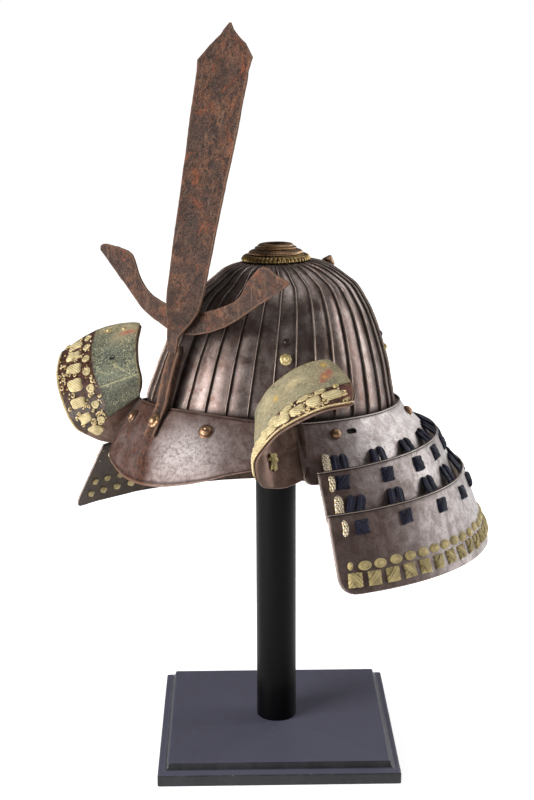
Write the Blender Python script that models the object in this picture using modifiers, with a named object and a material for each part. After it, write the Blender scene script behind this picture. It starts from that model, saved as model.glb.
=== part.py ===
"""Kabuto samurai helmet on its plain black display stand.

Frame: metres, +Z up. The origin is the centre of the base's underside, under the post.
The helmet faces -Y and its left is +X. The square base is turned in plan under it.
The helmet's own pieces are laid out level, in millimetres, from the centre of the bowl's
rim plane, and are parented to the empty helmet_seat, which holds the slight tilt that the
helmet has where it rests on the post.
"""

import bpy
import math
from mathutils import Euler, Vector

# ---------------------------------------------------------------- driving dimensions (mm)
BASE_TOP = 19.4            # top face of the base
BASE_TURN = 49.0           # degrees, the base's turn in plan
POST_RADIUS = 19.05
POST_TOP = 467.9
GAP = 0.3

SEAT_AT = (0.4, -8.3, 338.2)     # centre of the helmet's rim plane
SEAT_NOSE_UP = 6.25              # degrees
SEAT_ROLL = 3.5                  # degrees, left side up

PLATES = 36                      # bowl plates, one raised rib between each two
RIB = 3.0                        # rib height at the rim
BOWL_LONG = 1.09                 # front-to-back size over side-to-side size
RIM_BACK = 2.2                   # the rim's centre behind the helmet's
CROWN_BACK = 11.0                # the crown's centre behind the helmet's
LAME_LONG = 1.10
LAME_WALL = 1.6
IRON = 1.8                       # thickness of the cut iron plates

# Bowl outline: height over the rim plane, half width between the ribs
BOWL = (
    # height, half_width
    (-11.0, 108.2),
    (4.0, 107.8),
    (25.0, 102.8),
    (44.0, 97.8),
    (62.0, 91.6),
    (79.0, 84.6),
    (94.0, 77.0),
    (108.0, 67.0),
    (119.0, 55.0),
    (126.5, 43.0),
    (131.0, 29.0),
    (133.0, 10.0),
)
# Inside of the bowl
BOWL_INSIDE = (
    # height, half_width
    (130.8, 10.0),
    (124.6, 42.6),
    (106.6, 65.2),
    (78.4, 82.8),
    (44.0, 95.6),
    (4.0, 105.6),
    (-11.0, 106.0),
)

# Neck guard lames: height at the helmet's side, half width, rise per mm towards the rear
LAME_1 = (
    # height, half_width, rise
    (0.0, 113.0, 0.060),
    (-9.0, 118.4, 0.070),
    (-19.0, 126.8, 0.082),
    (-29.0, 134.6, 0.092),
    (-38.0, 139.8, 0.100),
    (-45.5, 143.2, 0.104),
)
LAME_2 = (
    # height, half_width, rise
    (-33.7, 147.9, 0.103),
    (-48.0, 154.2, 0.095),
    (-63.0, 160.8, 0.088),
    (-78.0, 166.6, 0.080),
)
LAME_3 = (
    # height, half_width, rise
    (-66.1, 172.8, 0.080),
    (-82.0, 179.0, 0.074),
    (-98.0, 185.0, 0.068),
    (-115.0, 191.4, 0.062),
    (-131.2, 197.4, 0.058),
)
# the lower lames hang on their laces, a little higher and further out on the right
LAME_SWAY = {
    # name: (outwards, upwards)
    "shikoro_lame_1": (0.0, 0.0),
    "shikoro_lame_2": (3.0, 5.0),
    "shikoro_lame_3": (8.0, 11.0),
}
# front ends of the lames, in degrees from the front, and their lower corners' radius
LAME_ENDS = {
    # name: (left top, left bottom, right top, right bottom, corner)
    "shikoro_lame_1": (60.0, 61.5, 60.0, 61.5, 10.0),
    "shikoro_lame_2": (65.5, 66.6, 67.0, 66.6, 8.0),
    "shikoro_lame_3": (66.2, 67.4, 68.5, 64.2, 17.0),
}

# Turned-back wing (fukigaeshi): its strip's two edges, from under the first lame's end,
# round the fold at the front, to the free end. Left side; the right one is its mirror.
WING = (
    # top edge x, y, z        bottom edge x, y, z
    ((95.8, -58.5, -4.8), (121.3, -70.0, -49.0)),
    ((91.5, -70.0, -5.0), (117.5, -85.0, -54.0)),
    ((88.0, -80.0, -4.0), (114.0, -99.0, -53.8)),
    ((84.2, -86.5, -1.0), (118.0, -113.5, -49.5)),
    ((81.8, -88.5, 4.0), (126.5, -126.5, -39.0)),
    ((82.0, -87.0, 11.0), (132.5, -133.3, -25.0)),
    ((85.2, -85.0, 18.4), (142.2, -133.6, -12.8)),
    ((93.2, -82.6, 29.5), (155.6, -130.6, 1.7)),
    ((103.4, -76.2, 40.1), (168.6, -123.2, 12.0)),
    ((112.4, -69.0, 48.0), (180.0, -114.0, 20.0)),
    ((121.2, -60.1, 52.8), (189.5, -105.5, 25.0)),
    ((130.6, -51.3, 55.5), (203.0, -92.5, 29.2)),
)
WING_ROWS = [top + bottom for top, bottom in WING]
WING_LEATHER_FROM = 3.6    # row of the table where the leather facing starts
WING_RIGHT_LIFT = 8.0      # the right wing's end, bent further up at its inner corner
WING_RIGHT_BULGE = 6.5     # and in its middle
WING_RIGHT_FOLD = 6.5      # how much higher its fold's lower edge is

# Peak: rows from the middle to the side; rim point, bulge point and edge point (x, y, z)
PEAK = (
    # rim x, y, z            bulge x, y, z             edge x, y, z
    ((0.0, -122.5, 2.6), (0.0, -146.0, -22.0), (0.0, -150.6, -63.5)),
    ((13.0, -121.6, 2.8), (13.5, -142.6, -21.0), (12.0, -149.6, -63.2)),
    ((28.0, -118.0, 2.6), (30.0, -138.0, -20.5), (29.0, -146.8, -61.4)),
    ((46.0, -111.0, 2.0), (50.0, -131.5, -21.5), (51.2, -140.4, -56.6)),
    ((62.0, -101.0, 0.8), (68.0, -120.0, -22.0), (70.4, -131.6, -51.0)),
    ((74.0, -90.5, -0.6), (81.0, -106.5, -22.5), (86.0, -117.8, -44.5)),
    ((84.5, -77.5, -2.0), (92.5, -90.0, -22.0), (101.0, -101.5, -40.0)),
)
PEAK_ROWS = [rim + bulge + edge for rim, bulge, edge in PEAK]
PEAK_STEPS = 6

# Crest blade (a straight sword outline): height, left and right half widths, y
BLADE = (
    # height, left, right, y
    (51.5, 5.5, 5.5, -117.7),
    (58.0, 6.8, 6.4, -117.5),
    (66.0, 8.0, 7.6, -117.0),
    (70.0, 8.6, 11.8, -116.2),
    (78.0, 12.2, 19.0, -113.6),
    (88.0, 17.8, 24.8, -110.4),
    (97.0, 22.4, 25.4, -107.4),
    (106.0, 25.0, 25.6, -104.7),
    (200.0, 30.5, 29.8, -87.2),
    (288.0, 35.2, 34.8, -71.4),
    (298.0, 35.8, 33.8, -69.6),
    (309.0, 37.4, 36.4, -67.7),
    (321.5, 23.5, 25.0, -65.6),
    (327.0, 16.0, 15.6, -64.7),
    (330.5, 10.6, 10.5, -64.1),
    (334.5, 7.6, 5.2, -63.4),
    (340.4, 0.6, 0.6, -62.4),
)
# Leaf-shaped side arms behind the blade: reach from the middle, lower and upper height, y
LEAF_LEFT = (
    # reach, low, high, y
    (0.0, 66.0, 86.0, -113.8),
    (8.0, 67.4, 86.6, -111.2),
    (25.0, 69.3, 88.8, -105.5),
    (50.0, 78.1, 95.7, -102.2),
    (67.0, 86.4, 104.8, -101.6),
    (77.0, 92.2, 118.6, -101.0),
    (92.0, 101.0, 131.6, -99.4),
    (108.0, 110.2, 126.6, -98.0),
    (122.5, 119.2, 120.6, -96.6),
)
LEAF_RIGHT = (
    # reach, low, high, y
    (8.0, 67.4, 86.6, -111.2),
    (24.0, 69.3, 89.4, -105.7),
    (55.0, 78.2, 98.4, -102.0),
    (72.0, 87.0, 110.5, -101.4),
    (87.0, 97.0, 131.0, -100.0),
    (102.0, 106.6, 136.4, -98.8),
    (121.0, 118.6, 138.4, -96.8),
    (137.0, 129.0, 139.6, -95.2),
    (143.5, 133.0, 137.2, -95.0),
)
# Crest holder: a channel-shaped stem standing on the peak: height, half width, y
STEM = (
    # height, half_width, y, flange depth
    (57.0, 6.6, -116.0, 5.6),
    (50.0, 7.0, -116.6, 6.0),
    (43.0, 7.1, -119.2, 6.2),
    (28.0, 7.3, -123.6, 6.2),
    (16.0, 7.1, -126.4, 6.2),
    (8.0, 7.0, -128.0, 5.6),
    (1.0, 7.0, -130.8, 4.0),
    (-6.0, 7.1, -134.2, 2.6),
    (-13.0, 7.0, -137.8, 2.2),
    (-21.0, 6.8, -141.6, 2.0),
)

TEHEN_AT = (0.0, 1.7, 134.14)      # the crown ornament's place
TEHEN_FACES = (0.02, -0.09, 1.0)   # it leans forwards a little
# Crown ornament, three nested brass rings: radius, height
TEHEN_BASE = (
    (8.8, 3.6), (25.5, 3.6), (29.0, 2.6), (31.4, 0.6), (32.0, -1.0), (31.6, -1.8),
    (29.0, -0.9), (24.0, 0.3), (8.8, 0.3),
)
TEHEN_MIDDLE = ((8.8, 8.0), (21.0, 8.0), (23.6, 7.0), (25.1, 5.2), (24.6, 3.95), (8.8, 3.95))
TEHEN_COLLAR = (
    (8.8, 13.4), (14.0, 13.4), (16.4, 12.4), (17.0, 10.9), (19.5, 9.6), (19.2, 8.35), (8.8, 8.35),
)
# Small post at the rear of the crown, for a badge ring: radius, height
BADGE_POST = (
    (0.0, 12.5), (3.2, 11.9), (5.4, 9.8), (6.4, 6.8), (6.5, 4.8), (2.8, 4.0), (2.8, 0.0), (0.0, 0.0),
)
# Moulded base of the stand: half side, height
BASE_PROFILE = (
    (0.0, 19.4), (101.6, 19.4), (103.0, 18.7), (103.4, 16.8), (104.0, 14.6), (105.8, 12.8),
    (108.6, 11.8), (111.2, 11.4), (112.5, 10.2), (112.5, 0.8), (111.7, 0.0), (0.0, 0.0),
)

MM = 0.001


# ---------------------------------------------------------------- scene and materials
for old in list(bpy.data.objects):
    bpy.data.objects.remove(old, do_unlink=True)

parts = bpy.data.collections.new("kabuto_on_stand")
bpy.context.scene.collection.children.link(parts)


def principled(name, colour, roughness, metallic):
    material = bpy.data.materials.new(name)
    material.use_nodes = True
    shader = material.node_tree.nodes["Principled BSDF"]
    shader.inputs["Base Color"].default_value = (*colour, 1.0)
    shader.inputs["Roughness"].default_value = roughness
    shader.inputs["Metallic"].default_value = metallic
    material.diffuse_color = (*colour, 1.0)
    return material


FINISH = {
    # name: colour, roughness, metallic
    "stand_paint": ((0.012, 0.012, 0.014), 0.4, 0.0),
    "bowl_iron": ((0.085, 0.062, 0.055), 0.45, 0.7),
    "peak_iron": ((0.16, 0.12, 0.11), 0.5, 0.7),
    "lame_iron": ((0.21, 0.18, 0.175), 0.45, 0.7),
    "crest_iron": ((0.13, 0.075, 0.055), 0.8, 0.3),
    "wing_iron": ((0.13, 0.10, 0.09), 0.5, 0.6),
    "printed_leather": ((0.17, 0.18, 0.12), 0.8, 0.0),
    "old_brass": ((0.30, 0.20, 0.09), 0.4, 0.9),
    "dark_brass": ((0.16, 0.10, 0.06), 0.45, 0.9),
    "black_iron": ((0.03, 0.025, 0.025), 0.4, 0.6),
}
PAINTS = {}


def keep(obj, name, finish, parent=None):
    """Names the object, gives it its own material and puts it in the parts collection."""
    obj.name = name
    obj.data.name = name
    colour, roughness, metallic = FINISH[finish]
    obj.data.materials.clear()
    obj.data.materials.append(principled(name + "_" + finish, colour, roughness, metallic))
    for collection in list(obj.users_collection):
        collection.objects.unlink(obj)
    parts.objects.link(obj)
    obj.parent = parent
    return obj


def smooth(obj, angle=35.0):
    obj.data.shade_smooth()
    obj.data.set_sharp_from_angle(angle=math.radians(angle))


def solidify(obj, thickness, offset):
    modifier = obj.modifiers.new("wall", "SOLIDIFY")
    modifier.thickness = thickness * MM
    modifier.offset = offset
    modifier.use_even_offset = True
    return modifier


def sheet(columns, rows, at):
    """A grid primitive bent onto a surface: at(u, v) gives a point in mm, u and v in 0..1."""
    bpy.ops.mesh.primitive_grid_add(x_subdivisions=columns, y_subdivisions=rows, size=2.0)
    obj = bpy.context.object
    for vertex in obj.data.vertices:
        u = (vertex.co.x + 1.0) / 2.0
        v = (vertex.co.y + 1.0) / 2.0
        vertex.co = Vector(at(u, v)) * MM
    obj.data.update()
    return obj


def turned(profile, steps, at=(0.0, 0.0, 0.0), normal=(0.0, 0.0, 1.0)):
    """A profile of (radius, height), top to bottom on its outer side, turned about an axis."""
    mesh = bpy.data.meshes.new("profile")
    obj = bpy.data.objects.new("profile", mesh)
    bpy.context.scene.collection.objects.link(obj)
    count = len(profile)
    closed = profile[0][0] > 0.001 and profile[-1][0] > 0.001
    edges = [(i, i + 1) for i in range(count - 1)] + ([(count - 1, 0)] if closed else [])
    mesh.from_pydata([(r * MM, 0.0, z * MM) for r, z in profile], edges, [])
    screw = obj.modifiers.new("turn", "SCREW")
    screw.steps = steps
    screw.render_steps = steps
    screw.use_merge_vertices = True
    screw.merge_threshold = 0.00001
    obj.location = Vector(at) * MM
    obj.rotation_euler = Vector(normal).to_track_quat("Z", "Y").to_euler()
    return obj


def between(table, t):
    """The row of a table of numbers at position t, between its rows."""
    i = min(int(t), len(table) - 2)
    f = t - i
    return [a + (b - a) * f for a, b in zip(table[i], table[i + 1])]


def smooth_row(table, t):
    """The row of a table at position t on a smooth curve through its rows."""
    last = len(table) - 1
    i = min(int(t), last - 1)
    f = t - i
    rows = [table[max(0, min(last, i + k))] for k in (-1, 0, 1, 2)]
    return [
        0.5 * (2.0 * b + (c - a) * f + (2.0 * a - 5.0 * b + 4.0 * c - d) * f * f + (3.0 * b - a - 3.0 * c + d) * f**3)
        for a, b, c, d in zip(*rows)
    ]


def ring_point(half_width, angle, height, rise, long, back):
    x = half_width * math.sin(angle)
    y = -long * half_width * math.cos(angle) + back
    return (x, y, height + rise * y)


# ---------------------------------------------------------------- stand
def make_stand():
    # the moulding turned in four steps makes the square base with mitred corners
    corner = math.sqrt(2.0)
    base = turned([(r * corner, z) for r, z in BASE_PROFILE], 4)
    base.rotation_euler = (0.0, 0.0, math.radians(BASE_TURN + 45.0))
    keep(base, "stand_base", "stand_paint")

    dome = [(0.0, POST_TOP)]
    dome += [
        (POST_RADIUS * math.sin(a), POST_TOP - 12.0 * (1.0 - math.cos(a)))
        for a in [math.radians(d) for d in (25.0, 50.0, 70.0, 90.0)]
    ]
    post = turned(dome + [(POST_RADIUS, BASE_TOP + GAP), (0.0, BASE_TOP + GAP)], 40)
    keep(post, "stand_post", "stand_paint")


# ---------------------------------------------------------------- bowl
def bowl_tilt(height):
    """The crown leans forwards a little: how much a point rises per mm towards the rear."""
    return 0.10 * max(0.0, min(1.0, (height - 100.0) / 30.0))


def bowl_centre(height):
    """How far behind the rim's centre a level of the bowl is."""
    back = RIM_BACK + (CROWN_BACK - RIM_BACK) * max(0.0, height) / 120.0
    return back + (TEHEN_AT[1] - back) * max(0.0, min(1.0, (height - 112.0) / 19.0))


def bowl_point(angle, height, half_width, out=0.0):
    """A point of the bowl, pushed out by so many mm from the plates' surface."""
    x = (half_width + out) * math.sin(angle)
    y = -(BOWL_LONG * half_width + out) * math.cos(angle)
    lift = bowl_tilt(height) * y
    if height > 119.0:
        lift += out * min(1.0, (height - 119.0) / 8.0)
    return (x, y + bowl_centre(height), height + lift)


def bowl_width(height):
    for (h0, w0), (h1, w1) in zip(BOWL, BOWL[1:]):
        if h0 <= height <= h1:
            return w0 + (w1 - w0) * (height - h0) / (h1 - h0)
    return BOWL[-1][1]


def make_bowl(seat):
    """The bowl in four groups of nine plates, each riveted to the next along a rib.

    Each group is a loft between its ribbed outside and its plain inside. It starts just
    behind one rib and takes in the next nine.
    """
    for name, first in (("left_front", 0), ("left_rear", 9), ("right_rear", 18), ("right_front", 27)):
        make_plates("bowl_plates_" + name, first, 9, seat)


def make_plates(name, first, plates, seat):
    plate = 2.0 * math.pi / PLATES
    levels = []
    for height, half_width in BOWL:
        rib = RIB * min(1.0, max(0.0, (half_width - 22.0) / 45.0)) if height > 0.0 else 0.0
        foot = min(2.4 / max(half_width, 25.0), plate * 0.3)
        gap = GAP / half_width
        row = [(first * plate + foot + gap, 0.0)]
        for i in range(first + 1, first + plates + 1):
            row += [(i * plate - foot, 0.0), (i * plate, rib), (i * plate + foot, 0.0)]
        levels.append([bowl_point(turn, height, half_width, out) for turn, out in row])
    outside = len(levels)
    for height, half_width in BOWL_INSIDE:
        foot = min(2.4 / max(half_width, 25.0), plate * 0.3)
        start = first * plate + foot + GAP / half_width
        end = (first + plates) * plate + foot
        levels.append(
            [
                bowl_point(start + (end - start) * i / plates, height, half_width)
                for i in range(plates + 1)
            ]
        )

    points, rings = [], []
    for level in levels:
        rings.append(list(range(len(points), len(points) + len(level))))
        points += level
    outer, inner = rings[:outside], rings[outside:]
    faces = []
    for group in (outer, inner):
        for low, high in zip(group, group[1:]):
            for i in range(len(low) - 1):
                faces.append((low[i], low[i + 1], high[i + 1], high[i]))
    # the crown's edge and the rim: three spans of the outside to one of the inside
    for out_ring, in_ring, turn in ((outer[-1], inner[0], 1), (outer[0], inner[-1], -1)):
        for i in range(plates):
            a, b, c, d = out_ring[3 * i : 3 * i + 4]
            for face in ((a, b, in_ring[i]), (b, c, in_ring[i]), (c, d, in_ring[i + 1], in_ring[i])):
                faces.append(face[::turn])
    # the two sides
    for end, turn in ((0, 1), (-1, -1)):
        side = [ring[end] for ring in outer] + [ring[end] for ring in inner]
        faces.append(tuple(side[::turn]))
    mesh = bpy.data.meshes.new(name)
    mesh.from_pydata([tuple(c * MM for c in p) for p in points], [], faces)
    mesh.validate()
    obj = bpy.data.objects.new(name, mesh)
    bpy.context.scene.collection.objects.link(obj)
    keep(obj, name, "bowl_iron", seat)
    smooth(obj, 28.0)


def bowl_spot(degrees, height):
    """A place on the plates and the direction that faces out of them."""
    a = math.radians(degrees)
    here = Vector(bowl_point(a, height, bowl_width(height)))
    side = Vector(bowl_point(a + 0.02, height, bowl_width(height))) - here
    up = Vector(bowl_point(a, height + 1.0, bowl_width(height + 1.0))) - here
    return here, side.cross(up).normalized()


def make_dome(name, finish, seat, at, out, radius, height, steps=14, foot=0.4):
    """A domed rivet head standing on a surface, its foot just clear of it."""
    profile = [(0.0, height)]
    profile += [
        (radius * math.sin(a), foot + 0.6 + (height - foot - 0.6) * math.cos(a))
        for a in [math.radians(d) for d in (32.0, 60.0, 90.0)]
    ]
    profile += [(radius, foot), (0.0, foot)]
    keep(turned(profile, steps, at, out), name, finish, seat)


# ---------------------------------------------------------------- neck guard
def lame_at(name, table):
    """A function of (u, v) over a lame: u round it from its left end, v up it."""
    left_top, left_low, right_top, right_low, corner = LAME_ENDS[name]
    outwards, upwards = LAME_SWAY[name]
    depth = 0.0
    for (h0, w0, _), (h1, w1, _) in zip(table, table[1:]):
        depth += math.hypot(h1 - h0, w1 - w0)

    def at(u, v):
        height, half_width, rise = between(table, (1.0 - v) * (len(table) - 1))
        below = v * depth
        inset = 0.0
        if below < corner:
            inset = corner - math.sqrt(max(0.0, corner**2 - (corner - below) ** 2))
        inset = math.degrees(inset / half_width)
        left = left_top + (left_low - left_top) * (1.0 - v) + inset
        right = right_top + (right_low - right_top) * (1.0 - v) + inset
        angle = math.radians(left + (360.0 - left - right) * u)
        x, y, z = ring_point(half_width, angle, height, rise, LAME_LONG, 3.0 + 2.5 * (1.0 - v))
        toward_right = min(1.0, max(0.0, -x / 150.0)) ** 2
        return (x - outwards * toward_right, y, z + upwards * toward_right)

    return at


def make_lame(name, table, rows, seat):
    at = lame_at(name, table)
    # rows are closer together at the bottom, where the corners are round
    obj = sheet(36, rows, lambda u, v: at(u, v**1.5))
    solidify(obj, LAME_WALL, -1.0)
    keep(obj, name, "lame_iron", seat)
    smooth(obj)
    return at


def lame_spot(at, degrees, v):
    """The place on a lame that is so many degrees from the front, and the way it faces."""
    low, high = 0.0, 1.0
    for _ in range(30):
        u = (low + high) / 2.0
        x, y, _ = at(u, v)
        turn = math.degrees(math.atan2(x * LAME_LONG, -(y - 3.0))) % 360.0
        low, high = (u, high) if turn < degrees % 360.0 else (low, u)
    here = Vector(at(u, v))
    side = Vector(at(u + 0.004, v)) - here
    up = Vector(at(u, v + 0.004)) - here
    return here, side.cross(up).normalized()


# ---------------------------------------------------------------- wings
def wing_point(u, v):
    """A point of the left wing: u along the strip, straight on past its end, v across it."""
    last = len(WING) - 1
    row = smooth_row(WING_ROWS, min(u, 1.0) * last)
    past = max(0.0, u - 1.0) * last
    row = [a + (a - b) * past for a, b in zip(row, WING_ROWS[last - 1])] if past else row
    return Vector(row[:3]).lerp(Vector(row[3:]), v)


def wing_lift(u, v):
    """The right wing is bent further up towards its free end, and its fold sits higher."""
    t = max(0.0, min(1.0, (u - 0.62) / 0.38))
    end = t * t * (WING_RIGHT_LIFT * (1.0 - v) + WING_RIGHT_BULGE * math.sin(math.pi * v))
    fold = max(0.0, min(1.0, (0.47 - u) / 0.2))
    return end + WING_RIGHT_FOLD * v * fold * fold * (3.0 - 2.0 * fold)


def wing_normal(u, v):
    along = wing_point(u + 0.01, v) - wing_point(max(0.0, u - 0.01), v)
    across = wing_point(u, 1.0) - wing_point(u, 0.0)
    return across.cross(along).normalized()


def make_wing(side, seat):
    sign = 1.0 if side == "left" else -1.0
    last = len(WING) - 1
    leather_start = WING_LEATHER_FROM / last

    def reach_at(v):
        """How far along the strip the free end is: bulged in the middle, round at the corners."""
        corner = 1.0 - math.sqrt(max(0.0, 1.0 - abs(2.0 * v - 1.0) ** 10))
        return 1.0 + 0.040 * math.sin(math.pi * v) - 0.035 * corner

    def place(u, v, out):
        p = wing_point(u, v) + wing_normal(u, v) * out
        lift = 0.0 if side == "left" else wing_lift(u, v)
        return (sign * p.x, p.y, p.z + lift)

    def iron(u, v):
        return place(u * reach_at(v), v, 0.0)

    obj = sheet(24, 6, iron)
    solidify(obj, IRON, 1.0 * sign)
    keep(obj, "fukigaeshi_" + side, "wing_iron", seat)
    smooth(obj)

    def leather(u, v):
        w = 0.035 + 0.93 * v
        end = reach_at(w) - 0.022
        return place(leather_start + (end - leather_start) * u, w, 2.4 * GAP)

    obj = sheet(16, 5, leather)
    solidify(obj, 1.0, -1.0 * sign)
    keep(obj, "fukigaeshi_leather_" + side, "printed_leather", seat)
    smooth(obj)


# ---------------------------------------------------------------- peak
def peak_point(x_row, t):
    """Row position from the middle to the side, t from the rim (0) to the edge (1)."""
    row = smooth_row(PEAK_ROWS, abs(x_row))
    rim, bulge, edge = Vector(row[:3]), Vector(row[3:6]), Vector(row[6:])
    p = rim * (1.0 - t) ** 2 + bulge * 2.0 * t * (1.0 - t) + edge * t * t
    return Vector((math.copysign(p.x, x_row), p.y, p.z))


def peak_spot(x_row, t):
    here = peak_point(x_row, t)
    side = peak_point(x_row + 0.05, t) - peak_point(x_row - 0.05, t)
    down = peak_point(x_row, t + 0.02) - here
    out = down.cross(side).normalized()
    if out.y > 0.0:
        out = -out
    return here, out


def make_peak(seat):
    rows = len(PEAK) - 1
    obj = sheet(4 * rows, PEAK_STEPS, lambda u, v: peak_point((2.0 * u - 1.0) * rows, 1.0 - v))
    solidify(obj, IRON, -1.0)
    keep(obj, "peak", "peak_iron", seat)
    smooth(obj)
    for side, place in (("left", 3.2), ("right", -3.06)):
        here, out = peak_spot(place, 0.28)
        make_dome("peak_rivet_" + side, "dark_brass", seat, here, out, 6.6, 4.6)
    here = Vector((0.0, -135.5, -8.4))
    out = Vector((0.0, -0.894, 0.447))
    make_dome("stem_rivet", "old_brass", seat, here, out, 6.1, 4.8, foot=0.5)


# ---------------------------------------------------------------- crest
def make_crest(seat):
    rows = len(BLADE) - 1

    def blade(u, v):
        height, left, right, y = BLADE[round(v * rows)]
        return ((u - 0.5) * 2.0 * (right if u > 0.5 else left) * 1.0, y, height)

    obj = sheet(2, rows, blade)
    solidify(obj, IRON, 0.0)
    keep(obj, "maedate_blade", "crest_iron", seat)
    smooth(obj)

    leaves = [(-r, lo, hi, y) for r, lo, hi, y in reversed(LEAF_RIGHT)]
    leaves += [(r, lo, hi, y) for r, lo, hi, y in LEAF_LEFT]
    columns = 2 * (len(leaves) - 1)

    def leaf(u, v):
        x, low, high, y = smooth_row(leaves, u * (len(leaves) - 1))
        # the middle leans back with the blade in front of it
        lean = 0.30 * max(0.0, 1.0 - abs(x) / 45.0)
        height = low + (high - low) * v
        return (x, y + 2.65 + lean * (height - 78.0), height)

    obj = sheet(columns, 2, leaf)
    solidify(obj, IRON, 0.0)
    keep(obj, "maedate_leaves", "crest_iron", seat)
    smooth(obj)

    rows = len(STEM) - 1

    def stem(u, v):
        height, half_width, y, flange = STEM[rows - round(v * rows)]
        column = round(u * 4)
        back = flange if column in (0, 4) else 0.0
        x = (-half_width, -half_width, 0.0, half_width, half_width)[column]
        return (x, y + back, height)

    obj = sheet(4, rows, stem)
    solidify(obj, IRON, -1.0)
    keep(obj, "maedate_stem", "crest_iron", seat)
    smooth(obj)


# ---------------------------------------------------------------- crown fittings
def make_crown(seat):
    for name, profile, finish in (
        ("tehen_base_ring", TEHEN_BASE, "old_brass"),
        ("tehen_middle_ring", TEHEN_MIDDLE, "dark_brass"),
        ("tehen_collar", TEHEN_COLLAR, "dark_brass"),
    ):
        keep(turned(profile, 28, TEHEN_AT, Vector(TEHEN_FACES)), name, finish, seat)

    here, out = bowl_spot(180.0, 119.6)
    here = here + out * 1.5
    keep(turned(BADGE_POST, 14, here, out), "kasajirushi_post", "black_iron", seat)
    bpy.ops.mesh.primitive_torus_add(
        major_segments=20, minor_segments=6, major_radius=8.4 * MM, minor_radius=0.8 * MM
    )
    ring = bpy.context.object
    rear = out.cross(Vector((1.0, 0.0, 0.0))).normalized()
    if rear.y < 0.0:
        rear = -rear
    ring.location = (here + out * 2.0 + rear * 4.6) * MM
    ring.rotation_euler = out.to_track_quat("Z", "Y").to_euler()
    keep(ring, "kasajirushi_ring", "black_iron", seat)
    smooth(ring)


def main():
    make_stand()
    seat = bpy.data.objects.new("helmet_seat", None)
    parts.objects.link(seat)
    seat.location = Vector(SEAT_AT) * MM
    seat.rotation_euler = Euler((math.radians(-SEAT_NOSE_UP), math.radians(-SEAT_ROLL), 0.0))

    make_bowl(seat)
    make_crown(seat)
    for name, degrees, rivet, stud in (
        ("front_left", 55.0, 50.0, 64.5), ("front_right", -55.0, 50.0, 64.5),
        ("rear_left", 135.0, 54.5, 66.5), ("rear_right", -135.0, 54.5, 66.5),
    ):
        here, out = bowl_spot(degrees, rivet)
        make_dome("shiten_rivet_" + name, "old_brass", seat, here, out, 5.4, 4.8, 12)
        here, out = bowl_spot(degrees, stud)
        make_dome("small_stud_" + name, "black_iron", seat, here, out, 3.4, 4.0, 10)

    first = make_lame("shikoro_lame_1", LAME_1, 6, seat)
    make_lame("shikoro_lame_2", LAME_2, 5, seat)
    make_lame("shikoro_lame_3", LAME_3, 7, seat)
    for name, degrees, level in (
        ("front_left", 77.0, 0.77), ("front_right", -77.0, 0.79),
        ("rear_left", 134.5, 0.75), ("rear_right", -134.5, 0.75),
    ):
        here, out = lame_spot(first, degrees, level)
        make_dome("lame_rivet_" + name, "dark_brass", seat, here, out, 5.0, 4.4, 12, foot=0.75)

    for side in ("left", "right"):
        make_wing(side, seat)
    make_peak(seat)
    make_crest(seat)


main()
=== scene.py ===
"""Looks of the kabuto samurai helmet on its display stand.

Every helmet piece is laid out level in millimetres, from the centre of the bowl's rim plane,
and then set down by the seat's slight tilt. The stand is laid out in the row frame itself.
"""

import math

import bpy
import numpy as np
from mathutils import Euler, Matrix, Vector, noise


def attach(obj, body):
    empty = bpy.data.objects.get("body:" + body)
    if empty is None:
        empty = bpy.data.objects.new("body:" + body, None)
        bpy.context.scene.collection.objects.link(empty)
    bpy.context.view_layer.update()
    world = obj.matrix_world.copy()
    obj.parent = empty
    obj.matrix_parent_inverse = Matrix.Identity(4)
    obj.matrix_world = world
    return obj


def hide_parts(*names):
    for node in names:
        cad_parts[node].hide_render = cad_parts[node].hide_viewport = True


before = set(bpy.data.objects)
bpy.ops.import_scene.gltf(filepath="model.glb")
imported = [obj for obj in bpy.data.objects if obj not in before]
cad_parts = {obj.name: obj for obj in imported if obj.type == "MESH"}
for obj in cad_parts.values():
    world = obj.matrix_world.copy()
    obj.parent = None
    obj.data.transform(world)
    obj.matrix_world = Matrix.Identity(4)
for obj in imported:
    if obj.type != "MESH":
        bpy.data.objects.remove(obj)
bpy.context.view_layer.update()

MM = 0.001
GAP = 0.3

# ---------------------------------------------------------------- shapes shared with the solids (mm)
BASE_TOP = 19.4
BASE_TURN = 49.0
POST_RADIUS = 19.05
POST_TOP = 467.9
SEAT_AT = (0.4, -8.3, 338.2)
SEAT_NOSE_UP = 6.25
SEAT_ROLL = 3.5
PLATES = 36
RIB = 3.0
BOWL_LONG = 1.09
RIM_BACK = 2.2
CROWN_BACK = 11.0
LAME_LONG = 1.10
LAME_WALL = 1.6
IRON = 1.8

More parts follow.
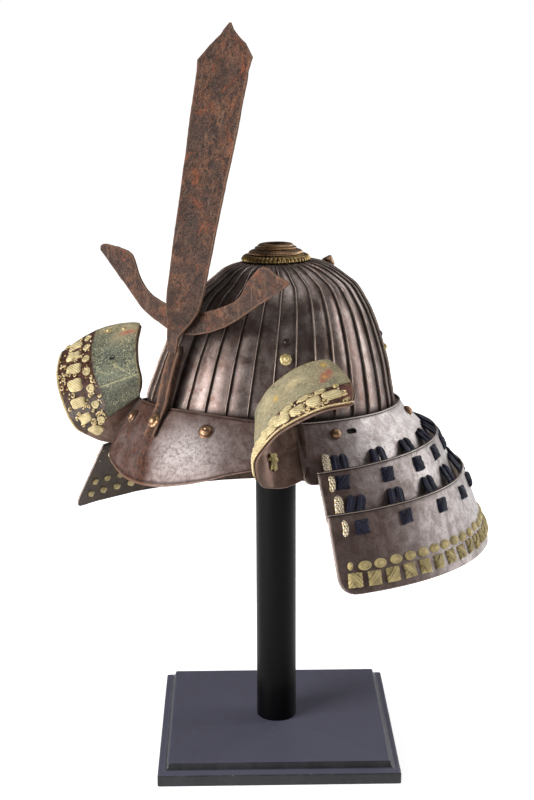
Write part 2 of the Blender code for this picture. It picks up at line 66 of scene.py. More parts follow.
BOWL = (
    # height, half_width
    (-11.0, 108.2), (4.0, 107.8), (25.0, 102.8), (44.0, 97.8), (62.0, 91.6), (79.0, 84.6),
    (94.0, 77.0), (108.0, 67.0), (119.0, 55.0), (126.5, 43.0), (131.0, 29.0), (133.0, 10.0),
)
BOWL_INSIDE = (
    # height, half_width
    (130.8, 10.0), (124.6, 42.6), (106.6, 65.2), (78.4, 82.8), (44.0, 95.6), (4.0, 105.6), (-11.0, 106.0),
)
LAMES = {
    # name: rows of (height, half_width, rise), top to bottom
    "shikoro_lame_1": (
        (0.0, 113.0, 0.060), (-9.0, 118.4, 0.070), (-19.0, 126.8, 0.082),
        (-29.0, 134.6, 0.092), (-38.0, 139.8, 0.100), (-45.5, 143.2, 0.104),
    ),
    "shikoro_lame_2": (
        (-33.7, 147.9, 0.103), (-48.0, 154.2, 0.095), (-63.0, 160.8, 0.088), (-78.0, 166.6, 0.080),
    ),
    "shikoro_lame_3": (
        (-66.1, 172.8, 0.080), (-82.0, 179.0, 0.074), (-98.0, 185.0, 0.068),
        (-115.0, 191.4, 0.062), (-131.2, 197.4, 0.058),
    ),
}
LAME_SWAY = {"shikoro_lame_1": (0.0, 0.0), "shikoro_lame_2": (3.0, 5.0), "shikoro_lame_3": (8.0, 11.0)}
LAME_ENDS = {
    # name: (left top, left bottom, right top, right bottom, corner)
    "shikoro_lame_1": (60.0, 61.5, 60.0, 61.5, 10.0),
    "shikoro_lame_2": (65.5, 66.6, 67.0, 66.6, 8.0),
    "shikoro_lame_3": (66.2, 67.4, 68.5, 64.2, 17.0),
}
WING = (
    # top edge x, y, z        bottom edge x, y, z
    (95.8, -58.5, -4.8, 121.3, -70.0, -49.0),
    (91.5, -70.0, -5.0, 117.5, -85.0, -54.0),
    (88.0, -80.0, -4.0, 114.0, -99.0, -53.8),
    (84.2, -86.5, -1.0, 118.0, -113.5, -49.5),
    (81.8, -88.5, 4.0, 126.5, -126.5, -39.0),
    (82.0, -87.0, 11.0, 132.5, -133.3, -25.0),
    (85.2, -85.0, 18.4, 142.2, -133.6, -12.8),
    (93.2, -82.6, 29.5, 155.6, -130.6, 1.7),
    (103.4, -76.2, 40.1, 168.6, -123.2, 12.0),
    (112.4, -69.0, 48.0, 180.0, -114.0, 20.0),
    (121.2, -60.1, 52.8, 189.5, -105.5, 25.0),
    (130.6, -51.3, 55.5, 203.0, -92.5, 29.2),
)
WING_LEATHER_FROM = 3.6
WING_RIGHT_LIFT = 8.0
WING_RIGHT_BULGE = 6.5
WING_RIGHT_FOLD = 6.5
PEAK = (
    # rim x, y, z            bulge x, y, z             edge x, y, z
    (0.0, -122.5, 2.6, 0.0, -146.0, -22.0, 0.0, -150.6, -63.5),
    (13.0, -121.6, 2.8, 13.5, -142.6, -21.0, 12.0, -149.6, -63.2),
    (28.0, -118.0, 2.6, 30.0, -138.0, -20.5, 29.0, -146.8, -61.4),
    (46.0, -111.0, 2.0, 50.0, -131.5, -21.5, 51.2, -140.4, -56.6),
    (62.0, -101.0, 0.8, 68.0, -120.0, -22.0, 70.4, -131.6, -51.0),
    (74.0, -90.5, -0.6, 81.0, -106.5, -22.5, 86.0, -117.8, -44.5),
    (84.5, -77.5, -2.0, 92.5, -90.0, -22.0, 101.0, -101.5, -40.0),
)
BLADE = (
    # height, left, right, y
    (51.5, 5.5, 5.5, -117.7), (58.0, 6.8, 6.4, -117.5), (66.0, 8.0, 7.6, -117.0),
    (70.0, 8.6, 11.8, -116.2), (78.0, 12.2, 19.0, -113.6), (88.0, 17.8, 24.8, -110.4),
    (97.0, 22.4, 25.4, -107.4), (106.0, 25.0, 25.6, -104.7), (200.0, 30.5, 29.8, -87.2),
    (288.0, 35.2, 34.8, -71.4), (298.0, 35.8, 33.8, -69.6), (309.0, 37.4, 36.4, -67.7),
    (321.5, 23.5, 25.0, -65.6), (327.0, 16.0, 15.6, -64.7), (330.5, 10.6, 10.5, -64.1),
    (334.5, 7.6, 5.2, -63.4), (340.4, 0.6, 0.6, -62.4),
)
LEAF_LEFT = (
    # reach, low, high, y
    (0.0, 66.0, 86.0, -113.8), (8.0, 67.4, 86.6, -111.2), (25.0, 69.3, 88.8, -105.5),
    (50.0, 78.1, 95.7, -102.2), (67.0, 86.4, 104.8, -101.6), (77.0, 92.2, 118.6, -101.0),
    (92.0, 101.0, 131.6, -99.4), (108.0, 110.2, 126.6, -98.0), (122.5, 119.2, 120.6, -96.6),
)
LEAF_RIGHT = (
    # reach, low, high, y
    (8.0, 67.4, 86.6, -111.2), (24.0, 69.3, 89.4, -105.7), (55.0, 78.2, 98.4, -102.0),
    (72.0, 87.0, 110.5, -101.4), (87.0, 97.0, 131.0, -100.0), (102.0, 106.6, 136.4, -98.8),
    (121.0, 118.6, 138.4, -96.8), (137.0, 129.0, 139.6, -95.2), (143.5, 133.0, 137.2, -95.0),
)
STEM = (
    # height, half_width, y, flange depth
    (57.0, 6.6, -116.0, 5.6), (50.0, 7.0, -116.6, 6.0), (43.0, 7.1, -119.2, 6.2),
    (28.0, 7.3, -123.6, 6.2), (16.0, 7.1, -126.4, 6.2), (8.0, 7.0, -128.0, 5.6),
    (1.0, 7.0, -130.8, 4.0), (-6.0, 7.1, -134.2, 2.6), (-13.0, 7.0, -137.8, 2.2),
    (-21.0, 6.8, -141.6, 2.0),
)
TEHEN_AT = (0.0, 1.7, 134.14)
TEHEN_FACES = (0.02, -0.09, 1.0)
BASE_PROFILE = (
    # half side, height, down the outside
    (101.2, 19.4), (102.2, 19.25), (102.9, 18.8), (103.2, 18.0), (103.4, 16.8), (103.7, 15.6),
    (104.2, 14.4), (105.0, 13.4), (106.2, 12.6), (107.8, 12.0), (109.6, 11.65), (111.2, 11.4),
    (112.0, 11.0), (112.4, 10.4), (112.5, 9.6), (112.5, 1.2), (112.3, 0.5), (111.7, 0.0),
)


# ---------------------------------------------------------------- small tools
def between(table, t):
    i = min(int(t), len(table) - 2)
    f = t - i
    return [a + (b - a) * f for a, b in zip(table[i], table[i + 1])]


def smooth_row(table, t):
    last = len(table) - 1
    i = min(int(t), last - 1)
    f = t - i
    rows = [table[max(0, min(last, i + k))] for k in (-1, 0, 1, 2)]
    return [
        0.5 * (2.0 * b + (c - a) * f + (2.0 * a - 5.0 * b + 4.0 * c - d) * f * f + (3.0 * b - a - 3.0 * c + d) * f**3)
        for a, b, c, d in zip(*rows)
    ]


def soft(a, b, x):
    """0 up to a, 1 from b on, smooth between."""
    t = max(0.0, min(1.0, (x - a) / (b - a)))
    return t * t * (3.0 - 2.0 * t)


def hump(x, middle, width):
    return math.exp(-(((x - middle) / width) ** 2))


def chance(i, salt=0):
    """A repeatable number from 0 to 1 for a counter."""
    return (math.sin(i * 12.9898 + salt * 78.233 + 1.7) * 43758.5453) % 1.0


def wobble(p, size, seed=0.0):
    """Smooth unevenness from -1 to 1, with lumps of about that size in mm."""
    return noise.noise(Vector((p[0] / size + seed, p[1] / size - seed, p[2] / size + 2.0 * seed)))


SEAT = Matrix.Translation(Vector(SEAT_AT)) @ Euler(
    (math.radians(-SEAT_NOSE_UP), math.radians(-SEAT_ROLL), 0.0)
).to_matrix().to_4x4()


class Shape:
    """Points in mm, faces, and numbers kept for each point, gathered for one piece."""

    def __init__(self, *fields):
        self.points, self.faces, self.fields = [], [], {f: [] for f in fields}

    def add(self, points, faces, **numbers):
        base = len(self.points)
        self.points += [tuple(p) for p in points]
        self.faces += [tuple(base + i for i in face) for face in faces]
        for name, values in self.fields.items():
            given = numbers.get(name, 0.0)
            values += list(given) if hasattr(given, "__len__") else [given] * len(points)


def grid_faces(columns, rows, wrap=False, keep=None):
    """Faces of a grid of points laid row after row, seen with the columns to the right and the rows up."""
    wide = columns if wrap else columns + 1
    faces = []
    for j in range(rows):
        for i in range(columns):
            k = (i + 1) % wide
            face = (j * wide + i, j * wide + k, (j + 1) * wide + k, (j + 1) * wide + i)
            if keep is None or keep(face):
                faces.append(face)
    return faces


def piece(name, shape, material, replaces=(), seated=True, sharp=40.0):
    mesh = bpy.data.meshes.new(name)
    points = np.array(shape.points, float)
    if seated:
        turn = np.array(SEAT)
        points = points @ turn[:3, :3].T + turn[:3, 3]
    mesh.from_pydata((points * MM).tolist(), [], shape.faces)
    for field, values in shape.fields.items():
        layer = mesh.attributes.new(field, "FLOAT", "POINT")
        layer.data.foreach_set("value", np.array(values, np.float32))
    mesh.validate()
    mesh.materials.append(material)
    mesh.shade_smooth()
    if sharp:
        mesh.set_sharp_from_angle(angle=math.radians(sharp))
    obj = bpy.data.objects.new(name, mesh)
    bpy.context.scene.collection.objects.link(obj)
    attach(obj, "root")
    if replaces:
        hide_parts(*replaces)
    return obj


def wall(obj, thickness, offset):
    modifier = obj.modifiers.new("wall", "SOLIDIFY")
    modifier.thickness = thickness * MM
    modifier.offset = offset
    modifier.use_even_offset = True
    return modifier


def ease_edges(obj, width, segments=2, angle=50.0):
    modifier = obj.modifiers.new("edges", "BEVEL")
    modifier.width = width * MM
    modifier.segments = segments
    modifier.limit_method = "ANGLE"
    modifier.angle_limit = math.radians(angle)
    modifier.use_clamp_overlap = True
    return modifier


def add_turned(shape, profile, steps, at=(0, 0, 0), normal=(0, 0, 1), flute=None, **numbers):
    """A profile of (radius, height), top to bottom on its outer side, turned about an axis.
    flute(turn, radius, height) gives the change in (radius, height)."""
    turn = Vector(normal).to_track_quat("Z", "Y").to_matrix()
    at = Vector(at)
    count = len(profile)
    hollow = profile[0][0] > 0.001 and profile[-1][0] > 0.001
    points, tops = [], []
    rings = []
    for r, z in profile:
        if r <= 0.001:
            rings.append([len(points)])
            points.append(at + turn @ Vector((0, 0, z)))
            continue
        ring = []
        for i in range(steps):
            a = 2.0 * math.pi * i / steps
            rr, zz = r, z
            if flute:
                dr, dz = flute(a, r, z)
                rr, zz = r + dr, z + dz
            ring.append(len(points))
            points.append(at + turn @ Vector((rr * math.cos(a), rr * math.sin(a), zz)))
        rings.append(ring)
    faces = []
    pairs = list(zip(rings, rings[1:])) + ([(rings[-1], rings[0])] if hollow else [])
    for high, low in pairs:
        for i in range(steps):
            k = (i + 1) % steps
            if len(high) == 1 and len(low) == 1:
                continue
            if len(high) == 1:
                faces.append((high[0], low[i], low[k]))
            elif len(low) == 1:
                faces.append((high[i], low[0], high[k]))
            else:
                faces.append((high[i], low[i], low[k], high[k]))
    shape.add(points, faces, **numbers)


# ---------------------------------------------------------------- the helmet's surfaces
def ring_point(half_width, angle, height, rise, long, back):
    x = half_width * math.sin(angle)
    y = -long * half_width * math.cos(angle) + back
    return (x, y, height + rise * y)


def bowl_tilt(height):
    return 0.10 * max(0.0, min(1.0, (height - 100.0) / 30.0))


def bowl_centre(height):
    back = RIM_BACK + (CROWN_BACK - RIM_BACK) * max(0.0, height) / 120.0
    return back + (TEHEN_AT[1] - back) * max(0.0, min(1.0, (height - 112.0) / 19.0))


def bowl_point(angle, height, half_width, out=0.0):
    x = (half_width + out) * math.sin(angle)
    y = -(BOWL_LONG * half_width + out) * math.cos(angle)
    lift = bowl_tilt(height) * y
    if height > 119.0:
        lift += out * min(1.0, (height - 119.0) / 8.0)
    return (x, y + bowl_centre(height), height + lift)


def bowl_width(height):
    for (h0, w0), (h1, w1) in zip(BOWL, BOWL[1:]):
        if h0 <= height <= h1:
            return w0 + (w1 - w0) * (height - h0) / (h1 - h0)
    return BOWL[-1][1]


def bowl_spot(degrees, height):
    a = math.radians(degrees)
    here = Vector(bowl_point(a, height, bowl_width(height)))
    side = Vector(bowl_point(a + 0.02, height, bowl_width(height))) - here
    up = Vector(bowl_point(a, height + 1.0, bowl_width(height + 1.0))) - here
    return here, side.cross(up).normalized()


def lame_at(name):
    table = LAMES[name]
    left_top, left_low, right_top, right_low, corner = LAME_ENDS[name]
    outwards, upwards = LAME_SWAY[name]
    depth = 0.0
    for (h0, w0, _), (h1, w1, _) in zip(table, table[1:]):
        depth += math.hypot(h1 - h0, w1 - w0)

    def at(u, v):
        v = max(0.0, v)
        height, half_width, rise = smooth_row(table, (1.0 - min(1.0, v)) * (len(table) - 1))
        if v > 1.0:
            top, below = table[0], smooth_row(table, 0.1)
            height += (top[0] - below[0]) * (v - 1.0) * (len(table) - 1) * 10.0
            half_width += (top[1] - below[1]) * (v - 1.0) * (len(table) - 1) * 10.0
        below = min(1.0, v) * depth
        inset = 0.0
        if below < corner:
            inset = corner - math.sqrt(max(0.0, corner**2 - (corner - below) ** 2))
        inset = math.degrees(inset / half_width)
        left = left_top + (left_low - left_top) * (1.0 - v) + inset
        right = right_top + (right_low - right_top) * (1.0 - v) + inset
        angle = math.radians(left + (360.0 - left - right) * u)
        x, y, z = ring_point(half_width, angle, height, rise, LAME_LONG, 3.0 + 2.5 * (1.0 - v))
        toward_right = min(1.0, max(0.0, -x / 150.0)) ** 2
        return (x - outwards * toward_right, y, z + upwards * toward_right)

    at.depth = depth
    at.table = table
    return at


LAME = {name: lame_at(name) for name in LAMES}


def lame_normal(at, u, v):
    v = min(v, 0.996)
    here = Vector(at(u, v))
    side = Vector(at(u + 0.002, v)) - Vector(at(u - 0.002, v))
    up = Vector(at(u, v + 0.004)) - here
    return side.cross(up).normalized()


def lame_u(at, degrees, v):
    low, high = 0.0, 1.0
    for _ in range(24):
        u = (low + high) / 2.0
        x, y, _ = at(u, v)
        turn = math.degrees(math.atan2(x * LAME_LONG, -(y - 3.0))) % 360.0
        low, high = (u, high) if turn < degrees % 360.0 else (low, u)
    return u


def lame_v(at, height):
    """Where across the lame a height of its table is."""
    table = at.table
    for i, (a, b) in enumerate(zip(table, table[1:])):
        if b[0] <= height <= a[0]:
            return 1.0 - (i + (a[0] - height) / (a[0] - b[0])) / (len(table) - 1)
    return 1.0 + (height - table[0][0]) / (table[0][0] - table[1][0]) / (len(table) - 1)


def lame_spot(at, degrees, v):
    u = lame_u(at, degrees, v)
    return Vector(at(u, v)), lame_normal(at, u, v)


def wing_point(u, v):
    last = len(WING) - 1
    row = smooth_row(WING, min(u, 1.0) * last)
    past = max(0.0, u - 1.0) * last
    row = [a + (a - b) * past for a, b in zip(row, WING[last - 1])] if past else row
    return Vector(row[:3]).lerp(Vector(row[3:]), v)


def wing_lift(u, v):
    t = max(0.0, min(1.0, (u - 0.62) / 0.38))
    end = t * t * (WING_RIGHT_LIFT * (1.0 - v) + WING_RIGHT_BULGE * math.sin(math.pi * v))
    fold = max(0.0, min(1.0, (0.47 - u) / 0.2))
    return end + WING_RIGHT_FOLD * v * fold * fold * (3.0 - 2.0 * fold)


def wing_normal(u, v):
    along = wing_point(u + 0.01, v) - wing_point(max(0.0, u - 0.01), v)
    across = wing_point(u, 1.0) - wing_point(u, 0.0)
    return across.cross(along).normalized()


def wing_place(side, u, v, out):
    p = wing_point(u, v) + wing_normal(u, v) * out
    if side == "left":
        return Vector((p.x, p.y, p.z))
    return Vector((-p.x, p.y, p.z + wing_lift(u, v)))


def wing_reach(v):
    corner = 1.0 - math.sqrt(max(0.0, 1.0 - abs(2.0 * v - 1.0) ** 10))
    return 1.0 + 0.040 * math.sin(math.pi * v) - 0.035 * corner


def peak_point(x_row, t):
    row = smooth_row(PEAK, abs(x_row))
    rim, bulge, edge = Vector(row[:3]), Vector(row[3:6]), Vector(row[6:])
    p = rim * (1.0 - t) ** 2 + bulge * 2.0 * t * (1.0 - t) + edge * t * t
    return Vector((math.copysign(p.x, x_row), p.y, p.z))


def peak_spot(x_row, t):
    here = peak_point(x_row, t)
    side = peak_point(x_row + 0.05, t) - peak_point(x_row - 0.05, t)
    down = peak_point(x_row, t + 0.02) - peak_point(x_row, t - 0.02)
    out = down.cross(side).normalized()
    if out.y > 0.0:
        out = -out
    return here, out


# ---------------------------------------------------------------- paints
def rgb(r, g, b):
    """A colour given as it looks on a screen, 0 to 255, as linear light."""
    return tuple(c / 12.92 if c <= 0.04045 else ((c + 0.055) / 1.055) ** 2.4 for c in (r / 255, g / 255, b / 255))


class Paint:
    """A material and short names for the nodes that make its colour, gloss and relief."""

    def __init__(self, name, metallic=0.0, roughness=0.5, **sockets):
        self.m = bpy.data.materials.new(name)
        self.m.use_nodes = True
        self.t = self.m.node_tree
        self.s = self.t.nodes["Principled BSDF"]
        self.s.inputs["Metallic"].default_value = metallic
        self.s.inputs["Roughness"].default_value = roughness
        for key, value in sockets.items():
            self.s.inputs[key.replace("_", " ")].default_value = value
        self.place = self.t.nodes.new("ShaderNodeTexCoord").outputs["Object"]

    def put(self, socket, value):
        if isinstance(value, bpy.types.NodeSocket):
            self.t.links.new(value, socket)
        elif isinstance(value, tuple) and len(value) == 3 and socket.type == "RGBA":
            socket.default_value = (*value, 1.0)
        else:
            socket.default_value = value

    def number(self, field):
        node = self.t.nodes.new("ShaderNodeAttribute")
        node.attribute_name = field
        return node.outputs["Fac"]

    def facing_up(self):
        node = self.t.nodes.new("ShaderNodeSeparateXYZ")
        self.put(node.inputs[0], self.t.nodes.new("ShaderNodeNewGeometry").outputs["Normal"])
        return node.outputs["Z"]

    def noise(self, scale, detail=4.0, rough=0.55, distort=0.0, vector=None):
        node = self.t.nodes.new("ShaderNodeTexNoise")
        self.put(node.inputs["Vector"], vector or self.place)
        node.inputs["Scale"].default_value = scale
        node.inputs["Detail"].default_value = detail
        node.inputs["Roughness"].default_value = rough
        node.inputs["Distortion"].default_value = distort
        return node.outputs["Fac"]

    def cells(self, scale, feature="F1", out="Distance", vector=None, loose=1.0):
        node = self.t.nodes.new("ShaderNodeTexVoronoi")
        node.feature = feature
        self.put(node.inputs["Vector"], vector or self.place)
        node.inputs["Scale"].default_value = scale
        node.inputs["Randomness"].default_value = loose
        return node.outputs[out]

    def stretched(self, x, y, z, vector=None, warp=None, amount=0.0):
        node = self.t.nodes.new("ShaderNodeMapping")
        self.put(node.inputs["Vector"], vector or self.place)
        node.inputs["Scale"].default_value = (x, y, z)
        return node.outputs["Vector"]

    def warped(self, scale, amount, vector=None):
        """The coordinates pushed about by a noise, in metres."""
        node = self.t.nodes.new("ShaderNodeTexNoise")
        self.put(node.inputs["Vector"], vector or self.place)
        node.inputs["Scale"].default_value = scale
        node.inputs["Detail"].default_value = 2.0
        add = self.t.nodes.new("ShaderNodeVectorMath")
        add.operation = "MULTIPLY_ADD"
        self.put(add.inputs[0], node.outputs["Color"])
        add.inputs[1].default_value = (amount, amount, amount)
        self.put(add.inputs[2], vector or self.place)
        return add.outputs[0]

    def sum(self, kind, a, b=0.0, c=0.0, clamp=False):
        node = self.t.nodes.new("ShaderNodeMath")
        node.operation = kind
        node.use_clamp = clamp
        for socket, value in zip(node.inputs, (a, b, c)):
            self.put(socket, value)
        return node.outputs[0]

    def step(self, value, low, high, to_low=0.0, to_high=1.0, kind="SMOOTHSTEP"):
        node = self.t.nodes.new("ShaderNodeMapRange")
        node.interpolation_type = kind
        for name, v in (("Value", value), ("From Min", low), ("From Max", high), ("To Min", to_low), ("To Max", to_high)):
            self.put(node.inputs[name], v)
        return node.outputs[0]

    def mix(self, share, a, b, kind="MIX"):
        node = self.t.nodes.new("ShaderNodeMix")
        node.data_type = "RGBA"
        node.blend_type = kind
        self.put(node.inputs[0], share)
        self.put(node.inputs[6], a)
        self.put(node.inputs[7], b)
        return node.outputs[2]

    def bump(self, height, distance, strength=1.0, under=None):
        node = self.t.nodes.new("ShaderNodeBump")
        node.inputs["Strength"].default_value = strength
        node.inputs["Distance"].default_value = distance
        self.put(node.inputs["Height"], height)
        if under is not None:
            self.put(node.inputs["Normal"], under)
        return node.outputs["Normal"]

    def done(self, colour=None, roughness=None, normal=None, metallic=None):
        for name, value in (("Base Color", colour), ("Roughness", roughness), ("Normal", normal), ("Metallic", metallic)):
            if value is not None:
                self.put(self.s.inputs[name], value)
        return self.m


def bowl_iron():
    p = Paint("bowl_iron", metallic=0.84, roughness=0.40)
    broad = p.noise(16.0, 3.0, 0.6)
    patch = p.noise(55.0, 5.0, 0.65, 0.4)
    fine = p.noise(420.0, 5.0, 0.7)
    streaks = p.noise(260.0, 3.0, 0.6, 0.0, p.stretched(1.0, 1.0, 0.10))
    plate = p.number("plate")
    colour = p.mix(p.step(patch, 0.35, 0.68), rgb(112, 98, 93), rgb(164, 152, 147))
    colour = p.mix(p.step(broad, 0.35, 0.62, 0.0, 0.55), colour, rgb(88, 67, 59))
    # brown rust gathers low down and in spots
    rust = p.sum("MULTIPLY", p.step(p.noise(120.0, 5.0, 0.7), 0.50, 0.70), p.step(p.number("height"), 0.0, 60.0, 0.85, 0.25))
    colour = p.mix(rust, colour, rgb(112, 70, 52))
    colour = p.mix(p.step(fine, 0.3, 0.75, 0.0, 0.5), colour, rgb(70, 54, 48))
    colour = p.mix(p.step(streaks, 0.55, 0.75, 0.0, 0.35), colour, rgb(160, 142, 134))
    colour = p.mix(p.step(plate, 0.0, 1.0, 0.0, 0.22), colour, rgb(58, 45, 42))
    # rib tops and rubbed spots painted pale: wear, with a painted highlight along the rib tops
    wear_and_highlight = p.sum("MULTIPLY", p.number("edge"), p.step(p.noise(180.0, 3.0), 0.25, 0.6, 0.45, 1.0))
    colour = p.mix(p.sum("MULTIPLY", wear_and_highlight, 0.62), colour, rgb(186, 166, 152))
    # painted shade: near black in the creases beside the ribs, in a band round the rim where the bowl runs under the
    # lames, and a little on the inside
    colour = p.mix(p.sum("MULTIPLY", p.number("dirt"), 0.92), colour, rgb(20, 14, 12))
    rough = p.step(patch, 0.3, 0.7, 0.29, 0.43, "LINEAR")
    rough = p.sum("MULTIPLY_ADD", rust, 0.2, rough)
    rough = p.sum("MULTIPLY_ADD", p.number("dirt"), 0.3, rough)
    normal = p.bump(fine, 0.00025, 0.55)
    normal = p.bump(patch, 0.0010, 0.35, normal)
    return p.done(colour, rough, normal)


def lame_iron():
    p = Paint("lame_iron", metallic=0.70, roughness=0.42)
    broad = p.noise(22.0, 4.0, 0.6, 0.5)
    patch = p.noise(85.0, 6.0, 0.68, 0.6)
    fine = p.noise(650.0, 5.0, 0.72)
    pits = p.cells(520.0)
    turn = p.number("turn")  # degrees from the front, the same on both sides
    # lighter and greyer towards the rear, darker brown at the front: partly the iron's tone, partly painted light, the
    # rear painted as if lit
    worn = p.step(p.sum("MULTIPLY_ADD", broad, 46.0, turn), 88.0, 138.0)
    dark = p.mix(p.step(patch, 0.35, 0.65), rgb(74, 59, 54), rgb(102, 87, 82))
    light = p.mix(p.step(patch, 0.32, 0.68), rgb(138, 128, 126), rgb(196, 191, 190))
    colour = p.mix(worn, dark, light)
    colour = p.mix(p.step(fine, 0.35, 0.8, 0.0, 0.55), colour, rgb(96, 76, 72))
    spots = p.sum("MULTIPLY", p.step(p.noise(300.0, 4.0, 0.75), 0.56, 0.70), p.step(patch, 0.4, 0.6, 0.3, 0.9))
    colour = p.mix(spots, colour, rgb(92, 66, 58))
    rust = p.step(p.noise(60.0, 4.0, 0.7), 0.60, 0.76, 0.0, 0.5)
    colour = p.mix(rust, colour, rgb(116, 80, 64))
    # edges painted near white along the lip, the lower edge and the ends: wear and painted highlight
    colour = p.mix(p.sum("MULTIPLY", p.number("edge"), 0.75), colour, rgb(208, 194, 184))
    # painted shade in the groove under the lip and round the slot
    colour = p.mix(p.sum("MULTIPLY", p.number("dirt"), 0.9), colour, rgb(34, 24, 21))
    rough = p.step(worn, 0.0, 1.0, 0.50, 0.34, "LINEAR")
    rough = p.sum("MULTIPLY_ADD", spots, 0.25, rough)
    rough = p.sum("MULTIPLY_ADD", fine, 0.12, rough)
    normal = p.bump(p.step(pits, 0.05, 0.5), 0.00022, 0.6)
    normal = p.bump(fine, 0.00022, 0.6, normal)
    normal = p.bump(patch, 0.0012, 0.45, normal)
    return p.done(colour, rough, normal)


def lame_inside_shade():
    """The inner faces of the lames: a dark, dull brown, painted shade for the shaded insides."""
    p = Paint("lame_inside_shade", metallic=0.08, roughness=0.62, Specular_IOR_Level=0.3)
    patch = p.noise(90.0, 6.0, 0.7, 0.5)
    fine = p.noise(600.0, 5.0, 0.7)
    colour = p.mix(p.step(patch, 0.35, 0.66), rgb(46, 33, 25), rgb(76, 58, 43))
    colour = p.mix(p.step(fine, 0.45, 0.75, 0.0, 0.6), colour, rgb(32, 23, 19))
    rough = p.sum("MULTIPLY_ADD", patch, 0.2, 0.5)
    return p.done(colour, rough, p.bump(fine, 0.0002, 0.5))


def peak_iron():
    p = Paint("peak_iron", metallic=0.66, roughness=0.45, Specular_IOR_Level=0.06)
    broad = p.noise(30.0, 4.0, 0.6, 0.5)
    patch = p.noise(110.0, 6.0, 0.7, 0.5)
    fine = p.noise(560.0, 5.0, 0.75)
    pits = p.cells(900.0)
    colour = p.mix(p.step(patch, 0.35, 0.68), rgb(92, 74, 70), rgb(130, 114, 110))
    # the silvery worn field in the middle of each side
    silver = p.sum("MULTIPLY", p.number("worn"), p.step(patch, 0.30, 0.62, 0.60, 1.0))
    colour = p.mix(silver, colour, rgb(160, 153, 151))
    spots = p.sum("MULTIPLY", p.step(p.noise(330.0, 5.0, 0.8), 0.47, 0.62), p.step(p.number("worn"), 0.0, 1.0, 0.35, 0.65))
    colour = p.mix(spots, colour, rgb(86, 64, 60))
    rust = p.sum("MAXIMUM", p.number("rust"), p.step(broad, 0.60, 0.78, 0.0, 0.6))
    brown = p.mix(p.step(p.noise(240.0, 5.0, 0.75), 0.35, 0.65), rgb(34, 20, 15), rgb(82, 50, 36))
    colour = p.mix(p.sum("MULTIPLY", rust, 0.92), colour, brown)
    colour = p.mix(p.sum("MULTIPLY", p.number("edge"), 0.40), colour, rgb(138, 106, 86))
    # painted shade in the groove inside the bead and where the peak meets the bowl
    colour = p.mix(p.sum("MULTIPLY", p.number("dirt"), 0.85), colour, rgb(34, 23, 20))
    rough = p.sum("MULTIPLY_ADD", rust, 0.16, p.step(silver, 0.0, 1.0, 0.54, 0.60, "LINEAR"))
    rough = p.sum("MULTIPLY_ADD", spots, 0.15, rough)
    normal = p.bump(p.step(pits, 0.05, 0.45), 0.00016, 0.5)
    normal = p.bump(fine, 0.00030, 0.8, normal)
    normal = p.bump(patch, 0.0010, 0.45, normal)
    metal = p.sum("MULTIPLY_ADD", rust, -0.56, 0.58)
    return p.done(colour, rough, normal, metal)


def crest_iron():
    p = Paint("crest_iron", metallic=0.20, roughness=0.62, Specular_IOR_Level=0.25)
    broad = p.noise(24.0, 4.0, 0.65, 0.8)
    patch = p.noise(70.0, 7.0, 0.74, 0.9)
    fine = p.noise(420.0, 6.0, 0.78)
    scale = p.noise(150.0, 6.0, 0.75, 1.4)
    streak = p.noise(170.0, 4.0, 0.7, 0.6, p.stretched(1.0, 1.0, 0.22))
    colour = p.mix(p.step(patch, 0.38, 0.62), rgb(50, 31, 22), rgb(100, 67, 49))
    colour = p.mix(p.step(broad, 0.44, 0.58, 0.0, 0.75), colour, rgb(56, 42, 36))
    colour = p.mix(p.step(scale, 0.49, 0.60, 0.0, 0.9), colour, rgb(34, 24, 21))
    colour = p.mix(p.step(streak, 0.54, 0.68, 0.0, 0.7), colour, rgb(104, 78, 63))
    orange = p.step(p.noise(34.0, 6.0, 0.78, 1.2), 0.54, 0.66, 0.0, 0.8)
    orange = p.sum("MULTIPLY", orange, p.step(fine, 0.34, 0.56, 0.4, 1.0))
    colour = p.mix(orange, colour, rgb(120, 64, 36))
    colour = p.mix(p.step(fine, 0.46, 0.66, 0.0, 0.8), colour, rgb(36, 26, 23))
    glints = p.sum("MULTIPLY", p.step(p.noise(700.0, 3.0, 0.7), 0.60, 0.72), 0.30)
    colour = p.mix(glints, colour, rgb(150, 122, 104))
    colour = p.mix(p.sum("MULTIPLY", p.number("edge"), 0.5), colour, rgb(130, 98, 78))
    # painted shade: down the middle of the leaves behind the blade, and in the holder's hollow and on its flanges
    colour = p.mix(p.sum("MULTIPLY", p.number("dirt"), 0.8), colour, rgb(36, 24, 20))
    rough = p.sum("MULTIPLY_ADD", patch, 0.25, 0.44)
    normal = p.bump(fine, 0.00050, 0.9)
    normal = p.bump(scale, 0.0011, 0.7, normal)
    normal = p.bump(patch, 0.0016, 0.6, normal)
    return p.done(colour, rough, normal)


def wing_iron():
    p = Paint("wing_iron", metallic=0.62, roughness=0.46)
    patch = p.noise(70.0, 6.0, 0.7, 0.6)
    fine = p.noise(520.0, 5.0, 0.72)
    colour = p.mix(p.step(patch, 0.35, 0.68), rgb(86, 66, 56), rgb(126, 103, 92))
    colour = p.mix(p.step(p.noise(30.0, 4.0, 0.6), 0.45, 0.68, 0.0, 0.6), colour, rgb(112, 80, 66))
    colour = p.mix(p.step(fine, 0.4, 0.75, 0.0, 0.5), colour, rgb(70, 50, 44))
    colour = p.mix(p.sum("MULTIPLY", p.number("edge"), 0.3), colour, rgb(112, 86, 68))
    # painted shade at the root, where the strip meets the lame
    colour = p.mix(p.sum("MULTIPLY", p.number("dirt"), 0.9), colour, rgb(30, 20, 17))
    rough = p.sum("MULTIPLY_ADD", patch, 0.24, 0.34)
    normal = p.bump(fine, 0.00024, 0.6)
    normal = p.bump(patch, 0.0010, 0.4, normal)
    return p.done(colour, rough, normal)


